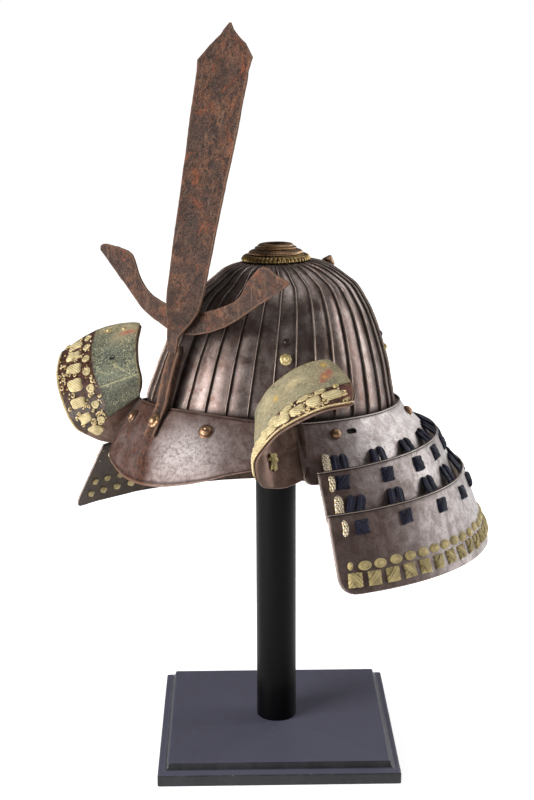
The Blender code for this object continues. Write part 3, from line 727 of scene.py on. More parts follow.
def printed_leather():
    """Stippled doe leather: fine pale strokes and dots on grey-green, worn tan, with a dark lacquered band."""
    p = Paint("printed_leather", roughness=0.72, Specular_IOR_Level=0.35)
    maze = p.noise(105.0, 1.5, 0.5, 0.5)
    lines = p.step(p.sum("SINE", p.sum("MULTIPLY", maze, 78.0)), 0.15, 0.85)
    breaks = p.step(p.noise(420.0, 2.0, 0.6), 0.40, 0.52)
    dots = p.step(p.cells(620.0, "F1", "Distance", p.warped(400.0, 0.0008)), 0.34, 0.16)
    ground = p.mix(p.step(p.noise(60.0, 4.0, 0.6), 0.35, 0.65), rgb(60, 64, 56), rgb(94, 95, 80))
    pale = p.mix(p.step(p.noise(40.0, 3.0, 0.6), 0.40, 0.62), rgb(166, 160, 124), rgb(140, 144, 122))
    marks = p.sum("MAXIMUM", p.sum("MULTIPLY", lines, breaks), p.sum("MULTIPLY", dots, 0.65))
    field = p.mix(p.sum("MULTIPLY", marks, 0.85), ground, pale)
    specks = p.step(p.noise(900.0, 3.0, 0.7), 0.56, 0.66, 0.0, 0.6)
    field = p.mix(specks, field, rgb(52, 52, 46))
    # where the print has rubbed away the bare skin shows
    rub = p.sum("MULTIPLY", p.number("tan"), p.step(p.noise(85.0, 5.0, 0.7), 0.30, 0.5, 0.30, 1.0))
    bare = p.mix(p.step(p.noise(150.0, 5.0, 0.7), 0.35, 0.68), rgb(168, 150, 112), rgb(206, 188, 148))
    field = p.mix(p.sum("MULTIPLY", rub, 0.80), field, bare)
    red = p.sum("MULTIPLY", p.number("red"), p.step(p.noise(480.0, 4.0, 0.7), 0.34, 0.50))
    field = p.mix(red, field, rgb(164, 84, 68))
    spark = p.sum("MULTIPLY", p.number("spark"), p.step(p.noise(560.0, 4.0, 0.7), 0.34, 0.50))
    field = p.mix(spark, field, rgb(196, 158, 66))
    field = p.mix(p.sum("MULTIPLY", p.number("seam"), 0.75), field, rgb(182, 174, 126))
    # the band: dark red-brown lacquer, worn through in places
    lacquer = p.mix(p.step(p.noise(240.0, 5.0, 0.75), 0.42, 0.66), rgb(44, 26, 23), rgb(84, 50, 42))
    lacquer = p.mix(p.step(p.noise(330.0, 5.0, 0.8), 0.54, 0.66, 0.0, 0.75), lacquer, rgb(150, 122, 88))
    lacquer = p.mix(p.sum("MULTIPLY", p.number("russet"), 0.85), lacquer, p.mix(p.step(p.noise(200.0, 4.0, 0.7), 0.4, 0.65), rgb(96, 58, 52), rgb(128, 88, 76)))
    colour = p.mix(p.number("band"), field, lacquer)
    colour = p.mix(p.sum("MULTIPLY", p.number("shade"), 0.55), colour, rgb(44, 40, 30))
    colour = p.mix(p.sum("MULTIPLY", p.number("edge"), 0.55), colour, rgb(150, 122, 84))
    # painted shade at the root, next to the iron
    colour = p.mix(p.sum("MULTIPLY", p.number("dirt"), 0.85), colour, rgb(40, 30, 24))
    rough = p.step(p.number("band"), 0.0, 1.0, 0.78, 0.34, "LINEAR")
    normal = p.bump(marks, 0.00020, 0.6)
    normal = p.bump(p.noise(520.0, 5.0, 0.7), 0.00035, 0.6, normal)
    normal = p.bump(p.noise(90.0, 4.0, 0.6), 0.0014, 0.4, normal)
    return p.done(colour, rough, normal)


def brass(name, low, high, dark, metallic=0.85, gloss=0.34):
    p = Paint(name, metallic=metallic, roughness=gloss)
    patch = p.noise(160.0, 5.0, 0.7, 0.5)
    fine = p.noise(900.0, 4.0, 0.7)
    colour = p.mix(p.step(patch, 0.35, 0.65), low, high)
    colour = p.mix(p.step(fine, 0.45, 0.75, 0.0, 0.6), colour, dark)
    colour = p.mix(p.sum("MULTIPLY", p.number("dirt"), 0.9), colour, dark)
    rough = p.sum("MULTIPLY_ADD", patch, 0.22, gloss - 0.08)
    normal = p.bump(fine, 0.00015, 0.5)
    normal = p.bump(patch, 0.0006, 0.4, normal)
    return p.done(colour, rough, normal)


def silk(name, dark, mid, light, rib=0.0):
    """Braided silk: threads laid in a herringbone across each band."""
    p = Paint(name, roughness=0.60, Sheen_Weight=0.04, Sheen_Roughness=0.4, Specular_IOR_Level=0.22)
    along, across = p.number("along"), p.number("across")
    left = p.sum("MULTIPLY_ADD", p.sum("ABSOLUTE", across), 1.15, along)
    thread = p.sum("SINE", p.sum("MULTIPLY", left, 2.0 * math.pi / 1.15))
    ridge = p.sum("SINE", p.sum("MULTIPLY", across, 2.0 * math.pi / 1.6))
    body = p.mix(p.step(p.noise(120.0, 4.0, 0.6), 0.35, 0.65), dark, mid)
    colour = p.mix(p.step(thread, -0.4, 1.0, 0.0, 0.65), body, light)
    # darker in the valleys between the ridges: painted shade
    colour = p.mix(p.step(ridge, 0.1, -1.0, 0.0, 0.45), colour, dark)
    # painted shade on undersides and in grooves, a quarter of the dark colour
    colour = p.mix(p.sum("MULTIPLY", p.number("dirt"), 0.8), colour, tuple(c * 0.25 for c in dark))
    fuzz = p.noise(2600.0, 3.0, 0.7)
    normal = p.bump(thread, 0.00016, 0.7)
    normal = p.bump(ridge, 0.00022, 0.6, normal)
    normal = p.bump(fuzz, 0.00012, 0.5, normal)
    return p.done(colour, None, normal)


def braid_silk():
    """The end braid: gold, white and dark strands plaited together."""
    p = Paint("edge_braid", roughness=0.5, Sheen_Weight=0.3, Specular_IOR_Level=0.5)
    along, across = p.number("along"), p.number("across")
    one = p.sum("SINE", p.sum("MULTIPLY", p.sum("ADD", along, p.sum("MULTIPLY", across, 1.5)), 2.0 * math.pi / 4.6))
    two = p.sum("SINE", p.sum("MULTIPLY", p.sum("SUBTRACT", along, p.sum("MULTIPLY", across, 1.5)), 2.0 * math.pi / 4.6))
    colour = p.mix(p.step(one, -0.2, 0.3), rgb(176, 148, 92), rgb(236, 226, 208))
    colour = p.mix(p.step(p.sum("MULTIPLY", one, two), 0.25, 0.6), colour, rgb(64, 36, 44))
    colour = p.mix(p.step(two, 0.55, 0.9, 0.0, 0.7), colour, rgb(214, 190, 132))
    normal = p.bump(p.sum("MAXIMUM", one, two), 0.0005, 0.9)
    return p.done(colour, None, normal)


def stand_paint(name, low, high, gloss, top_sheen):
    p = Paint(name, roughness=0.36, Specular_IOR_Level=gloss)
    grain = p.noise(60.0, 5.0, 0.6, 0.0, p.stretched(1.0, 1.0, 0.12))
    brushed = p.noise(500.0, 3.0, 0.6)
    dust = p.noise(1500.0, 2.0, 0.6)
    colour = p.mix(p.step(grain, 0.35, 0.7), low, high)
    # upward faces painted lighter and bluish: a painted sheen on the top
    colour = p.mix(p.step(p.facing_up(), 0.75, 0.97, 0.0, top_sheen), colour, rgb(88, 88, 104))
    colour = p.mix(p.step(dust, 0.66, 0.74, 0.0, 0.25), colour, rgb(70, 70, 80))
    # nicks along the edges show pale wood and filler
    nick = p.sum("MULTIPLY", p.number("edge"), p.step(p.noise(260.0, 4.0, 0.8), 0.66, 0.72))
    colour = p.mix(nick, colour, rgb(190, 186, 176))
    rub = p.sum("MULTIPLY", p.number("edge"), p.step(p.noise(130.0, 5.0, 0.7), 0.45, 0.65, 0.0, 0.35))
    colour = p.mix(rub, colour, rgb(78, 76, 78))
    rough = p.sum("MULTIPLY_ADD", brushed, 0.16, p.step(grain, 0.3, 0.7, 0.26, 0.36, "LINEAR"))
    normal = p.bump(brushed, 0.00008, 0.5)
    normal = p.bump(grain, 0.0004, 0.25, normal)
    return p.done(colour, rough, normal)


def black_iron():
    p = Paint("black_iron", metallic=0.6, roughness=0.4)
    patch = p.noise(240.0, 4.0, 0.7)
    colour = p.mix(p.step(patch, 0.4, 0.7), rgb(24, 20, 19), rgb(56, 47, 43))
    rough = p.sum("MULTIPLY_ADD", patch, 0.3, 0.25)
    return p.done(colour, rough, p.bump(p.noise(900.0, 4.0, 0.7), 0.0002, 0.6))


# near-black paint for sheets set into holes: painted shade
def dark_hole():
    p = Paint("slot_dark", metallic=0.2, roughness=0.9)
    colour = p.mix(p.step(p.noise(500.0, 3.0), 0.4, 0.7), rgb(14, 9, 8), rgb(34, 24, 20))
    return p.done(colour)


PAINT = {
    "bowl": bowl_iron(), "lame": lame_iron(), "peak": peak_iron(), "crest": crest_iron(),
    "wing": wing_iron(), "leather": printed_leather(), "black": black_iron(), "lame_inside_shade": lame_inside_shade(),
    "stand": stand_paint("stand_black", rgb(26, 26, 30), rgb(36, 36, 41), 0.36, 0.92),
    "post": stand_paint("post_black", rgb(5, 5, 6), rgb(8, 8, 9), 0.08, 0.0),
    "old_brass": brass("old_brass", rgb(128, 102, 62), rgb(184, 156, 100), rgb(58, 42, 26)),
    "gilt": brass("gilt_brass", rgb(172, 152, 100), rgb(222, 204, 150), rgb(98, 80, 48), 0.45, 0.44),
    "dark_brass": brass("dark_brass", rgb(112, 84, 64), rgb(156, 124, 96), rgb(50, 34, 27)),
    "copper": brass("copper_brass", rgb(126, 98, 72), rgb(176, 142, 106), rgb(56, 40, 30)),
    "navy": silk("navy_silk", rgb(10, 10, 24), rgb(19, 19, 42), rgb(42, 43, 78)),
    "gold": silk("gold_silk", rgb(138, 118, 70), rgb(208, 186, 126), rgb(242, 226, 174)),
    "pad_gold": silk("pad_silk", rgb(150, 130, 86), rgb(208, 188, 138), rgb(242, 230, 188)),
    "gold_bright": silk("gold_thread", rgb(150, 122, 72), rgb(202, 176, 122), rgb(246, 232, 196)),
    "braid": braid_silk(), "hole": dark_hole(),
}


# ---------------------------------------------------------------- stand
def make_stand():
    shape = Shape("edge")
    corner, steps = 1.4, 5
    points, edges = [], []
    turn = math.radians(BASE_TURN)
    outline = []
    for k in range(4):
        a0 = k * math.pi / 2.0
        for s in range(steps):
            outline.append((a0 + s * (math.pi / 2.0) / (steps - 1), k, s))
    rows = list(BASE_PROFILE)
    for i, (half, height) in enumerate(rows):
        for a, k, s in outline:
            ck = k * math.pi / 2.0 + math.pi / 4.0
            cx = (half - corner) * math.copysign(1.0, math.cos(ck))
            cy = (half - corner) * math.copysign(1.0, math.sin(ck))
            x, y = cx + corner * math.cos(a), cy + corner * math.sin(a)
            points.append((x * math.cos(turn) - y * math.sin(turn), x * math.sin(turn) + y * math.cos(turn), height))
            near_line = 1.0 if height in (19.25, 18.8, 11.0, 10.4, 11.4) or 0 < s < steps - 1 else 0.12
            edges.append(near_line)
    wide = len(outline)
    faces = []
    for j in range(len(rows) - 1):
        for i in range(wide):
            k = (i + 1) % wide
            faces.append((j * wide + i, (j + 1) * wide + i, (j + 1) * wide + k, j * wide + k))
    faces.append(tuple(range(wide)))
    faces.append(tuple(reversed(range((len(rows) - 1) * wide, len(rows) * wide))))
    shape.add(points, faces, edge=edges)
    piece("base_moulding", shape, PAINT["stand"], ["stand_base"], seated=False, sharp=28.0)

    shape = Shape("edge")
    dome = [(0.0, POST_TOP)]
    dome += [
        (POST_RADIUS * math.sin(a), POST_TOP - 12.0 * (1.0 - math.cos(a)))
        for a in [math.radians(9.0 * k) for k in range(1, 11)]
    ]
    low = BASE_TOP + GAP
    side = [(POST_RADIUS, z) for z in (440.0, 400.0, 350.0, 300.0, 250.0, 200.0, 150.0, 100.0, 60.0, low + 0.6)]
    add_turned(shape, dome + side + [(POST_RADIUS - 0.4, low), (0.0, low)], 96)
    piece("post_rod", shape, PAINT["post"], ["stand_post"], seated=False)


# ---------------------------------------------------------------- bowl
RIB_SHAPE = (
    # offset from the rib's middle in mm, share of the rib's height, wear and painted highlight on its top, painted
    # shade in the creases beside it
    (-2.2, 0.0, 0.0, 0.2), (-1.3, 0.02, 0.0, 0.75), (-0.74, 0.10, 0.0, 0.95), (-0.50, 0.40, 0.0, 0.55),
    (-0.42, 0.76, 0.35, 0.05), (-0.32, 0.95, 0.9, 0.0), (-0.12, 1.0, 1.0, 0.0), (0.12, 1.0, 1.0, 0.0),
    (0.32, 0.95, 0.9, 0.0), (0.42, 0.76, 0.35, 0.05), (0.50, 0.40, 0.0, 0.55), (0.74, 0.10, 0.0, 0.95),
    (1.3, 0.02, 0.0, 0.75), (2.2, 0.0, 0.0, 0.2),
)


def make_bowl():
    shape = Shape("edge", "dirt", "height", "plate")
    step = 2.0 * math.pi / PLATES
    rows = 56
    middle_parts = (0.16, 0.33, 0.5, 0.67, 0.84)
    points, edge, dirt, high, plate = [], [], [], [], []
    wide = 0
    for j in range(rows + 1):
        t = (len(BOWL) - 1) * j / rows
        height, half_width = smooth_row(BOWL, t)
        rib = 2.7 * min(1.0, max(0.0, (half_width - 22.0) / 45.0)) * soft(0.5, 4.0, height)
        fit = min(1.0, half_width * step / 6.2)
        ring = []
        for i in range(PLATES):
            for offset, share, wear_and_highlight, crease_shade_and_grime in RIB_SHAPE:
                ring.append((i * step + offset * fit / half_width, rib * share, wear_and_highlight * min(1.0, rib / 1.2), crease_shade_and_grime * min(1.0, rib / 1.5), i))
            side = 2.2 * fit / half_width
            for f in middle_parts:
                # each plate is a little hollow towards the rib in front of it
                belly = 0.45 * math.sin(math.pi * f) * min(1.0, half_width / 60.0)
                ring.append((i * step + side + (step - 2.0 * side) * f, belly, 0.0, 0.0, i))
        wide = len(ring)
        for a, out, w, g, i in ring:
            p = bowl_point(a, height, half_width, out)
            p = Vector(p)
            d = wobble(p, 34.0, 3.0) * 0.45 + wobble(p, 13.0, 8.0) * 0.15
            radial = Vector((p.x, p.y, max(0.0, p.z - 60.0))).normalized()
            points.append(p + radial * d)
            edge.append(w)
            # painted shade: the creases beside the ribs, and a band round the rim where the bowl runs under the lames
            dirt.append(max(g, soft(3.0, 1.0, height), 0.7 * hump(height, 2.0, 2.5)))
            high.append(height)
            plate.append(chance(i, 2))
    shape.add(points, grid_faces(wide, rows, wrap=True), edge=edge, dirt=dirt, height=high, plate=plate)
    outside = (rows + 1) * wide
    inner = []
    inner_rows = 18
    for j in range(inner_rows + 1):
        height, half_width = smooth_row(BOWL_INSIDE, (len(BOWL_INSIDE) - 1) * j / inner_rows)
        for i in range(wide):
            inner.append(bowl_point(2.0 * math.pi * i / wide, height, half_width))
    # the inside gets a little painted shade all over
    shape.add(inner, grid_faces(wide, inner_rows, wrap=True), dirt=0.35, height=60.0)
    for i in range(wide):
        k = (i + 1) % wide
        top, low = rows * wide, 0
        first, last = outside, outside + inner_rows * wide
        shape.faces.append((top + i, top + k, first + k, first + i))
        shape.faces.append((last + i, last + k, low + k, low + i))
    piece("bowl_ribbed", shape, PAINT["bowl"],
          ["bowl_plates_left_front", "bowl_plates_left_rear", "bowl_plates_right_front", "bowl_plates_right_rear"], sharp=55.0)


# ---------------------------------------------------------------- neck guard
def make_lames():
    for number, name in enumerate(LAMES):
        at = LAME[name]
        depth = at.depth
        downs = [0.0, 0.25, 0.5, 0.8, 1.1, 1.35, 1.6, 1.9, 2.3, 2.8, 3.6]
        x = 5.0
        while x < depth - 4.0:
            downs.append(x)
            x += 1.7
        downs += [depth - 3.2, depth - 2.2, depth - 1.4, depth - 0.8, depth - 0.35, depth]
        slot_u = lame_u(at, 84.6, 0.78) if number == 0 else None
        us = []
        count = 300
        for i in range(count + 1):
            u = i / count
            us.append(u)
        if slot_u:
            fine = [slot_u + k * 0.00085 for k in range(-16, 17)]
            us = sorted([u for u in us if not fine[0] - 0.002 < u < fine[-1] + 0.002] + fine)
        shape = Shape("edge", "dirt", "turn")
        points, edge, dirt, turns, flat = [], [], [], [], []
        length = sum((Vector(at((k + 1) / 60, 0.5)) - Vector(at(k / 60, 0.5))).length for k in range(60))
        if slot_u:
            slot_d = depth * (1.0 - lame_v(at, -10.0))
            downs = sorted([d for d in downs if abs(d - slot_d) > 3.2] + [slot_d + 0.4 * k for k in range(-7, 8)])
        rows = list(reversed(downs))
        for d in rows:
            v = 1.0 - d / depth
            for u in us:
                p = Vector(at(u, v))
                n = lame_normal(at, u, v)
                side = min(u, 1.0 - u) * length
                out = 0.0
                # rolled upper lip with a line beneath it
                out += 0.75 * (1.0 - soft(0.7, 1.3, d)) - 0.25 * hump(d, 1.9, 0.5)
                out += wobble(p, 42.0, 5.0 + number) * 0.7 + wobble(p, 15.0, 9.0) * 0.22
                # the metal is drawn in a little at its lower edge and its ends
                out -= 0.4 * (1.0 - soft(0.0, 1.2, depth - d)) + 0.35 * (1.0 - soft(0.0, 1.2, side))
                points.append(p + n * out)
                # edges: wear and painted highlight; the groove under the lip: painted shade
                edge.append(min(1.0, 0.8 * hump(d, 0.5, 0.6) + 0.55 * hump(depth - d, 0.0, 0.7) + 0.4 * hump(side, 0.0, 0.6)))
                dirt.append(min(1.0, 0.95 * hump(d, 2.0, 0.75) + 0.3 * hump(d, 3.0, 1.5)))
                turn = math.degrees(math.atan2(p.x * LAME_LONG, -(p.y - 3.0))) % 360.0
                turns.append(min(turn, 360.0 - turn) + (6.0, -5.0, -13.0)[number])
                flat.append((u, d))
        wide = len(us)
        holes = []
        if slot_u:
            # the long slot behind the front rivet
            centre_d = slot_d
            half_long, half_high = 5.6, 2.1
            per_u = length / 1.0
            distance = []
            for index, (u, d) in enumerate(flat):
                x, y = (u - slot_u) * per_u, d - centre_d
                near = max(0.0, abs(x) - (half_long - half_high))
                distance.append(math.hypot(near, y) - half_high)
            for index, gap in enumerate(distance):
                if abs(gap) < 0.26:
                    u, d = flat[index]
                    x, y = (u - slot_u) * per_u, d - centre_d
                    near = max(0.0, abs(x) - (half_long - half_high))
                    if math.hypot(near, y) > 1e-6:
                        k = half_high / math.hypot(near, y)
                        nx = math.copysign(near * k + min(abs(x), half_long - half_high), x)
                        ny = y * k
                        uu, vv = slot_u + nx / per_u, 1.0 - (centre_d + ny) / depth
                        moved = Vector(at(uu, vv)) - Vector(at(u, 1.0 - d / depth))
                        points[index] = points[index] + moved
                        distance[index] = 0.0
                        # painted shade round the slot's rim
                        dirt[index] = 0.6
            keep = lambda face: not all(distance[i] <= 1e-6 for i in face)
        else:
            keep = None
        shape.add(points, grid_faces(wide - 1, len(rows) - 1, keep=keep), edge=edge, dirt=dirt, turn=turns)
        obj = piece(("lame_upper", "lame_middle", "lame_lower")[number], shape, PAINT["lame"], [name])
        obj.data.materials.append(PAINT["lame_inside_shade"])
        wall(obj, LAME_WALL, -1.0).material_offset = 1
        if number == 0:
            # a near-black sheet sunk below the lame's face: painted shade seen through the slot
            back = Shape("dirt")
            middle_v = 1.0 - slot_d / depth
            sunk, n = [], lame_normal(at, slot_u, middle_v)
            for k in range(40):
                a = 2.0 * math.pi * k / 40
                x = math.copysign(3.5, math.cos(a)) + 2.7 * math.cos(a)
                y = 2.7 * math.sin(a)
                uu, vv = slot_u + x / length, 1.0 - (slot_d + y) / depth
                sunk.append(Vector(at(uu, vv)) - lame_normal(at, uu, vv) * (LAME_WALL + 0.25))
            deep = [q - n * 0.8 for q in sunk]
            ring = list(range(40))
            sides = [(k, (k + 1) % 40, 40 + (k + 1) % 40, 40 + k) for k in range(40)]
            back.add(sunk + deep, [tuple(ring[::-1]), tuple(40 + k for k in ring)] + sides)
            piece("lame_slot_shade_sheet", back, PAINT["hole"])


# ---------------------------------------------------------------- wings
def make_wings():
    last = len(WING) - 1
    for side in ("left", "right"):
        sign = 1.0 if side == "left" else -1.0
        shape = Shape("edge", "dirt")
        columns, rows = 140, 30
        points, edge, dirt = [], [], []
        for j in range(rows + 1):
            v = j / rows
            for i in range(columns + 1):
                u = max(0.0, (i - 8) / (columns - 8))
                p = wing_place(side, u * wing_reach(v), v, 0.0)
                if i < 8:
                    # the root tucks in behind the end of the upper lame
                    n = wing_normal(0.0, v)
                    n = Vector((n.x if side == "left" else -n.x, n.y, n.z))
                    away = (p - wing_place(side, 0.03, v, 0.0)).normalized()
                    back = (8 - i) / 8.0
                    p = p + away * (8.5 * back) - n * (2.3 * soft(0.30, 0.60, back))
                points.append(p)
                rim = min(v, 1.0 - v) * 60.0
                tip = (1.0 - u) * 150.0
                edge.append(min(1.0, 0.6 * hump(rim, 0.0, 1.0) + 0.6 * hump(tip, 0.0, 1.0)))
                # painted shade: a dark line where the folded strip meets the first lame
                dirt.append(0.45 * soft(6.0, 3.0, i) + 0.2 * soft(9.0, 5.0, i) if i <= 9 else 0.0)
        shape.add(points, grid_faces(columns, rows), edge=edge, dirt=dirt)
        obj = piece("wing_iron_" + side, shape, PAINT["wing"], ["fukigaeshi_" + side])
        wall(obj, IRON, sign)
        ease_edges(obj, 0.4)

        start = WING_LEATHER_FROM / last
        shape = Shape("edge", "dirt", "band", "spark", "russet", "shade", "tan", "red", "seam")
        columns, rows = 200, 60
        points = []
        got = {f: [] for f in shape.fields}
        border = BAND_EDGE[side]
        for j in range(rows + 1):
            w = 0.012 + 0.976 * j / rows
            for i in range(columns + 1):
                end = wing_reach(w) - 0.006
                u = start + (end - start) * i / columns
                t = (u - start) / (end - start)
                limit = line_at(border, u)
                bulge = 0.35 * hump(w, limit, 0.018)
                raised = wobble((u * 90, w * 60, 3.0), 7.0, 4.0) * 0.25
                points.append(wing_place(side, u, w, 2.4 * GAP + bulge + raised))
                rim = min(w - 0.012, 0.988 - w) * 62.0
                got["edge"].append(min(1.0, hump(rim, 0.0, 0.8) + hump((1.0 - t) * 120.0, 0.0, 0.9)))
                got["band"].append(soft(limit - 0.012, limit + 0.012, w))
                spark = 0.0
                for cu, cv, ru, rv in SPARK[side]:
                    spark = max(spark, math.exp(-(((u - cu) / ru) ** 2 + ((w - cv) / rv) ** 2)))
                got["spark"].append(spark)
                # lacquer left bare past the pads, and russet at the free end's outer corner
                got["russet"].append(soft(0.945, 0.985, u) * soft(limit, limit + 0.10, w) if side == "left" else soft(0.36, 0.30, u) * 0.5)
                got["shade"].append(soft(0.60, 0.48, u) * 0.95 if side == "right" else 0.35 * soft(0.62, 0.45, u))
                tan = 0.50 if side == "left" else 0.0
                for cu, cv, ru, rv, amount in TAN[side]:
                    tan = max(tan, amount * math.exp(-(((u - cu) / ru) ** 2 + ((w - cv) / rv) ** 2)))
                got["tan"].append(tan)
                red = 0.0
                for cu, cv, ru, rv in RED[side]:
                    red = max(red, math.exp(-(((u - cu) / ru) ** 2 + ((w - cv) / rv) ** 2)))
                got["red"].append(red)
                seam = 0.0
                for (ua, va), (ub, vb) in SEAMS[side]:
                    ax, ay, bx, by = ua * 150.0, va * 60.0, ub * 150.0, vb * 60.0
                    px, py = u * 150.0, w * 60.0
                    k = max(0.0, min(1.0, ((px - ax) * (bx - ax) + (py - ay) * (by - ay)) / ((bx - ax) ** 2 + (by - ay) ** 2)))
                    gap = math.hypot(px - ax - (bx - ax) * k, py - ay - (by - ay) * k)
                    seam = max(seam, math.exp(-((gap / 0.45) ** 2)) * (1.0 if va == 0.50 and vb < 0.1 else 0.55))
                got["seam"].append(seam)
                # painted shade along the leather's root, next to the iron
                got["dirt"].append(0.6 * hump(t, 0.0, 0.02))
        shape.add(points, grid_faces(columns, rows), **got)
        obj = piece("wing_facing_" + side, shape, PAINT["leather"], ["fukigaeshi_leather_" + side])
        wall(obj, 1.0, -1.0 * sign)


# the line between the leather field and the lacquered band: (along, across)
BAND_EDGE = {
    "right": ((0.29, 0.58), (0.43, 0.505), (0.56, 0.50), (0.67, 0.533), (0.85, 0.567), (1.05, 0.57)),
    "left": ((0.29, 0.78), (0.50, 0.78), (0.54, 0.767), (0.60, 0.70), (0.66, 0.665), (0.75, 0.635), (0.88, 0.633), (0.98, 0.60), (1.05, 0.58)),
}
PAD_LINE = {
    # the middle of each big pad: along, across
    "right": ((0.941, 0.80), (0.828, 0.795), (0.721, 0.775), (0.618, 0.783), (0.520, 0.81), (0.412, 0.805), (0.309, 0.835)),
    "left": ((0.928, 0.785), (0.836, 0.81), (0.748, 0.832), (0.668, 0.825), (0.598, 0.835), (0.545, 0.862), (0.49, 0.87), (0.43, 0.87), (0.37, 0.87)),
}
CURL_LINE = {
    # the small curled knots along the border of the band
    "right": ((0.961, 0.65), (0.868, 0.635), (0.765, 0.628), (0.674, 0.622), (0.576, 0.617), (0.467, 0.617), (0.348, 0.65)),
    "left": ((0.884, 0.672), (0.792, 0.68), (0.702, 0.70), (0.628, 0.72), (0.57, 0.775), (0.51, 0.80), (0.44, 0.80)),
}
TAN = {
    # along, across, reach along, reach across, amount
    "right": ((0.93, 0.16, 0.07, 0.16, 0.8), (1.0, 0.35, 0.05, 0.30, 0.5), (0.88, 0.18, 0.05, 0.20, 0.6)),
    "left": ((0.752, 0.28, 0.085, 0.17, 1.0), (0.60, 0.28, 0.07, 0.22, 0.9), (0.83, 0.30, 0.04, 0.12, 0.6), (0.50, 0.40, 0.05, 0.30, 0.7)),
}
RED = {
    "right": ((0.90, 0.13, 0.018, 0.10),),
    "left": ((0.932, 0.37, 0.022, 0.075), (0.955, 0.30, 0.018, 0.06), (0.915, 0.44, 0.014, 0.05)),
}
SPARK = {
    # small worn yellow flowers of the print
    "right": ((0.961, 0.40, 0.012, 0.035),),
    "left": ((0.656, 0.35, 0.012, 0.05), (0.944, 0.133, 0.014, 0.045), (0.93, 0.38, 0.009, 0.03)),
}
SEAMS = {
    "right": (((0.566, 0.50), (0.566, 0.02)), ((0.67, 0.30), (0.61, 0.16)), ((0.66, 0.50), (0.62, 0.36))),
    "left": (),
}


def line_at(line, x):
    if x <= line[0][0]:
        return line[0][1]
    for (x0, y0), (x1, y1) in zip(line, line[1:]):
        if x <= x1:
            return y0 + (y1 - y0) * (x - x0) / (x1 - x0)
    return line[-1][1]


# ---------------------------------------------------------------- peak
def make_peak():
    rows, columns = 44, 190
    last = len(PEAK) - 1
    shape = Shape("edge", "dirt", "worn", "rust")
    points, edge, dirt, worn, rust = [], [], [], [], []
    for j in range(rows + 1):
        # rows crowd towards the outer edge, for its bead
        t = 1.0 - (j / rows) ** 1.35
        for i in range(columns + 1):
            x_row = (2.0 * i / columns - 1.0) * last
            p, n = peak_spot(x_row, min(0.98, max(0.02, t)))
            p = peak_point(x_row, t)
            from_edge = (1.0 - t) * 62.0
            from_rim = t * 62.0
            from_side = (last - abs(x_row)) * 18.0
            near = min(from_edge, from_side + 1.0)
            out = 0.75 * hump(near, 1.1, 0.8) - 0.15 * hump(near, 2.6, 0.7)
            out += wobble(p, 38.0, 11.0) * 0.7 + wobble(p, 14.0, 2.0) * 0.2
            out += 0.5 * hump(from_rim, 0.6, 0.8)
            # the keel
            out += 0.5 * hump(x_row, 0.0, 0.10)
            points.append(p + n * out)
            edge.append(min(1.0, hump(near, 0.9, 0.9) + 0.9 * hump(from_rim, 0.3, 0.7)))
            # painted shade in the groove inside the bead and where the peak meets the bowl
            dirt.append(min(1.0, 0.75 * hump(near, 2.7, 0.8) + 0.9 * hump(from_rim, 2.0, 1.0)))
            s = abs(x_row)
            worn.append(math.exp(-(((s - 2.6) / 1.9) ** 2)) * math.exp(-(((t - 0.60) / 0.34) ** 2)))
            # russet runs down the middle, wider on the right side
            drift = x_row + 0.7 * wobble(p, 22.0, 1.0)
            r = soft(1.6, 0.1, drift) * (0.92 + 0.2 * wobble(p, 12.0, 6.0))
            r = max(r, 0.6 * soft(5.6, 6.0, s) * 0.5)
            r = max(r, 0.45 * soft(0.25, 0.05, t))
            rust.append(max(0.0, min(1.0, r)))
    shape.add(points, grid_faces(columns, rows), edge=edge, dirt=dirt, worn=worn, rust=rust)
    obj = piece("peak_plate", shape, PAINT["peak"], ["peak"])
    wall(obj, IRON, -1.0)
    ease_edges(obj, 0.4)


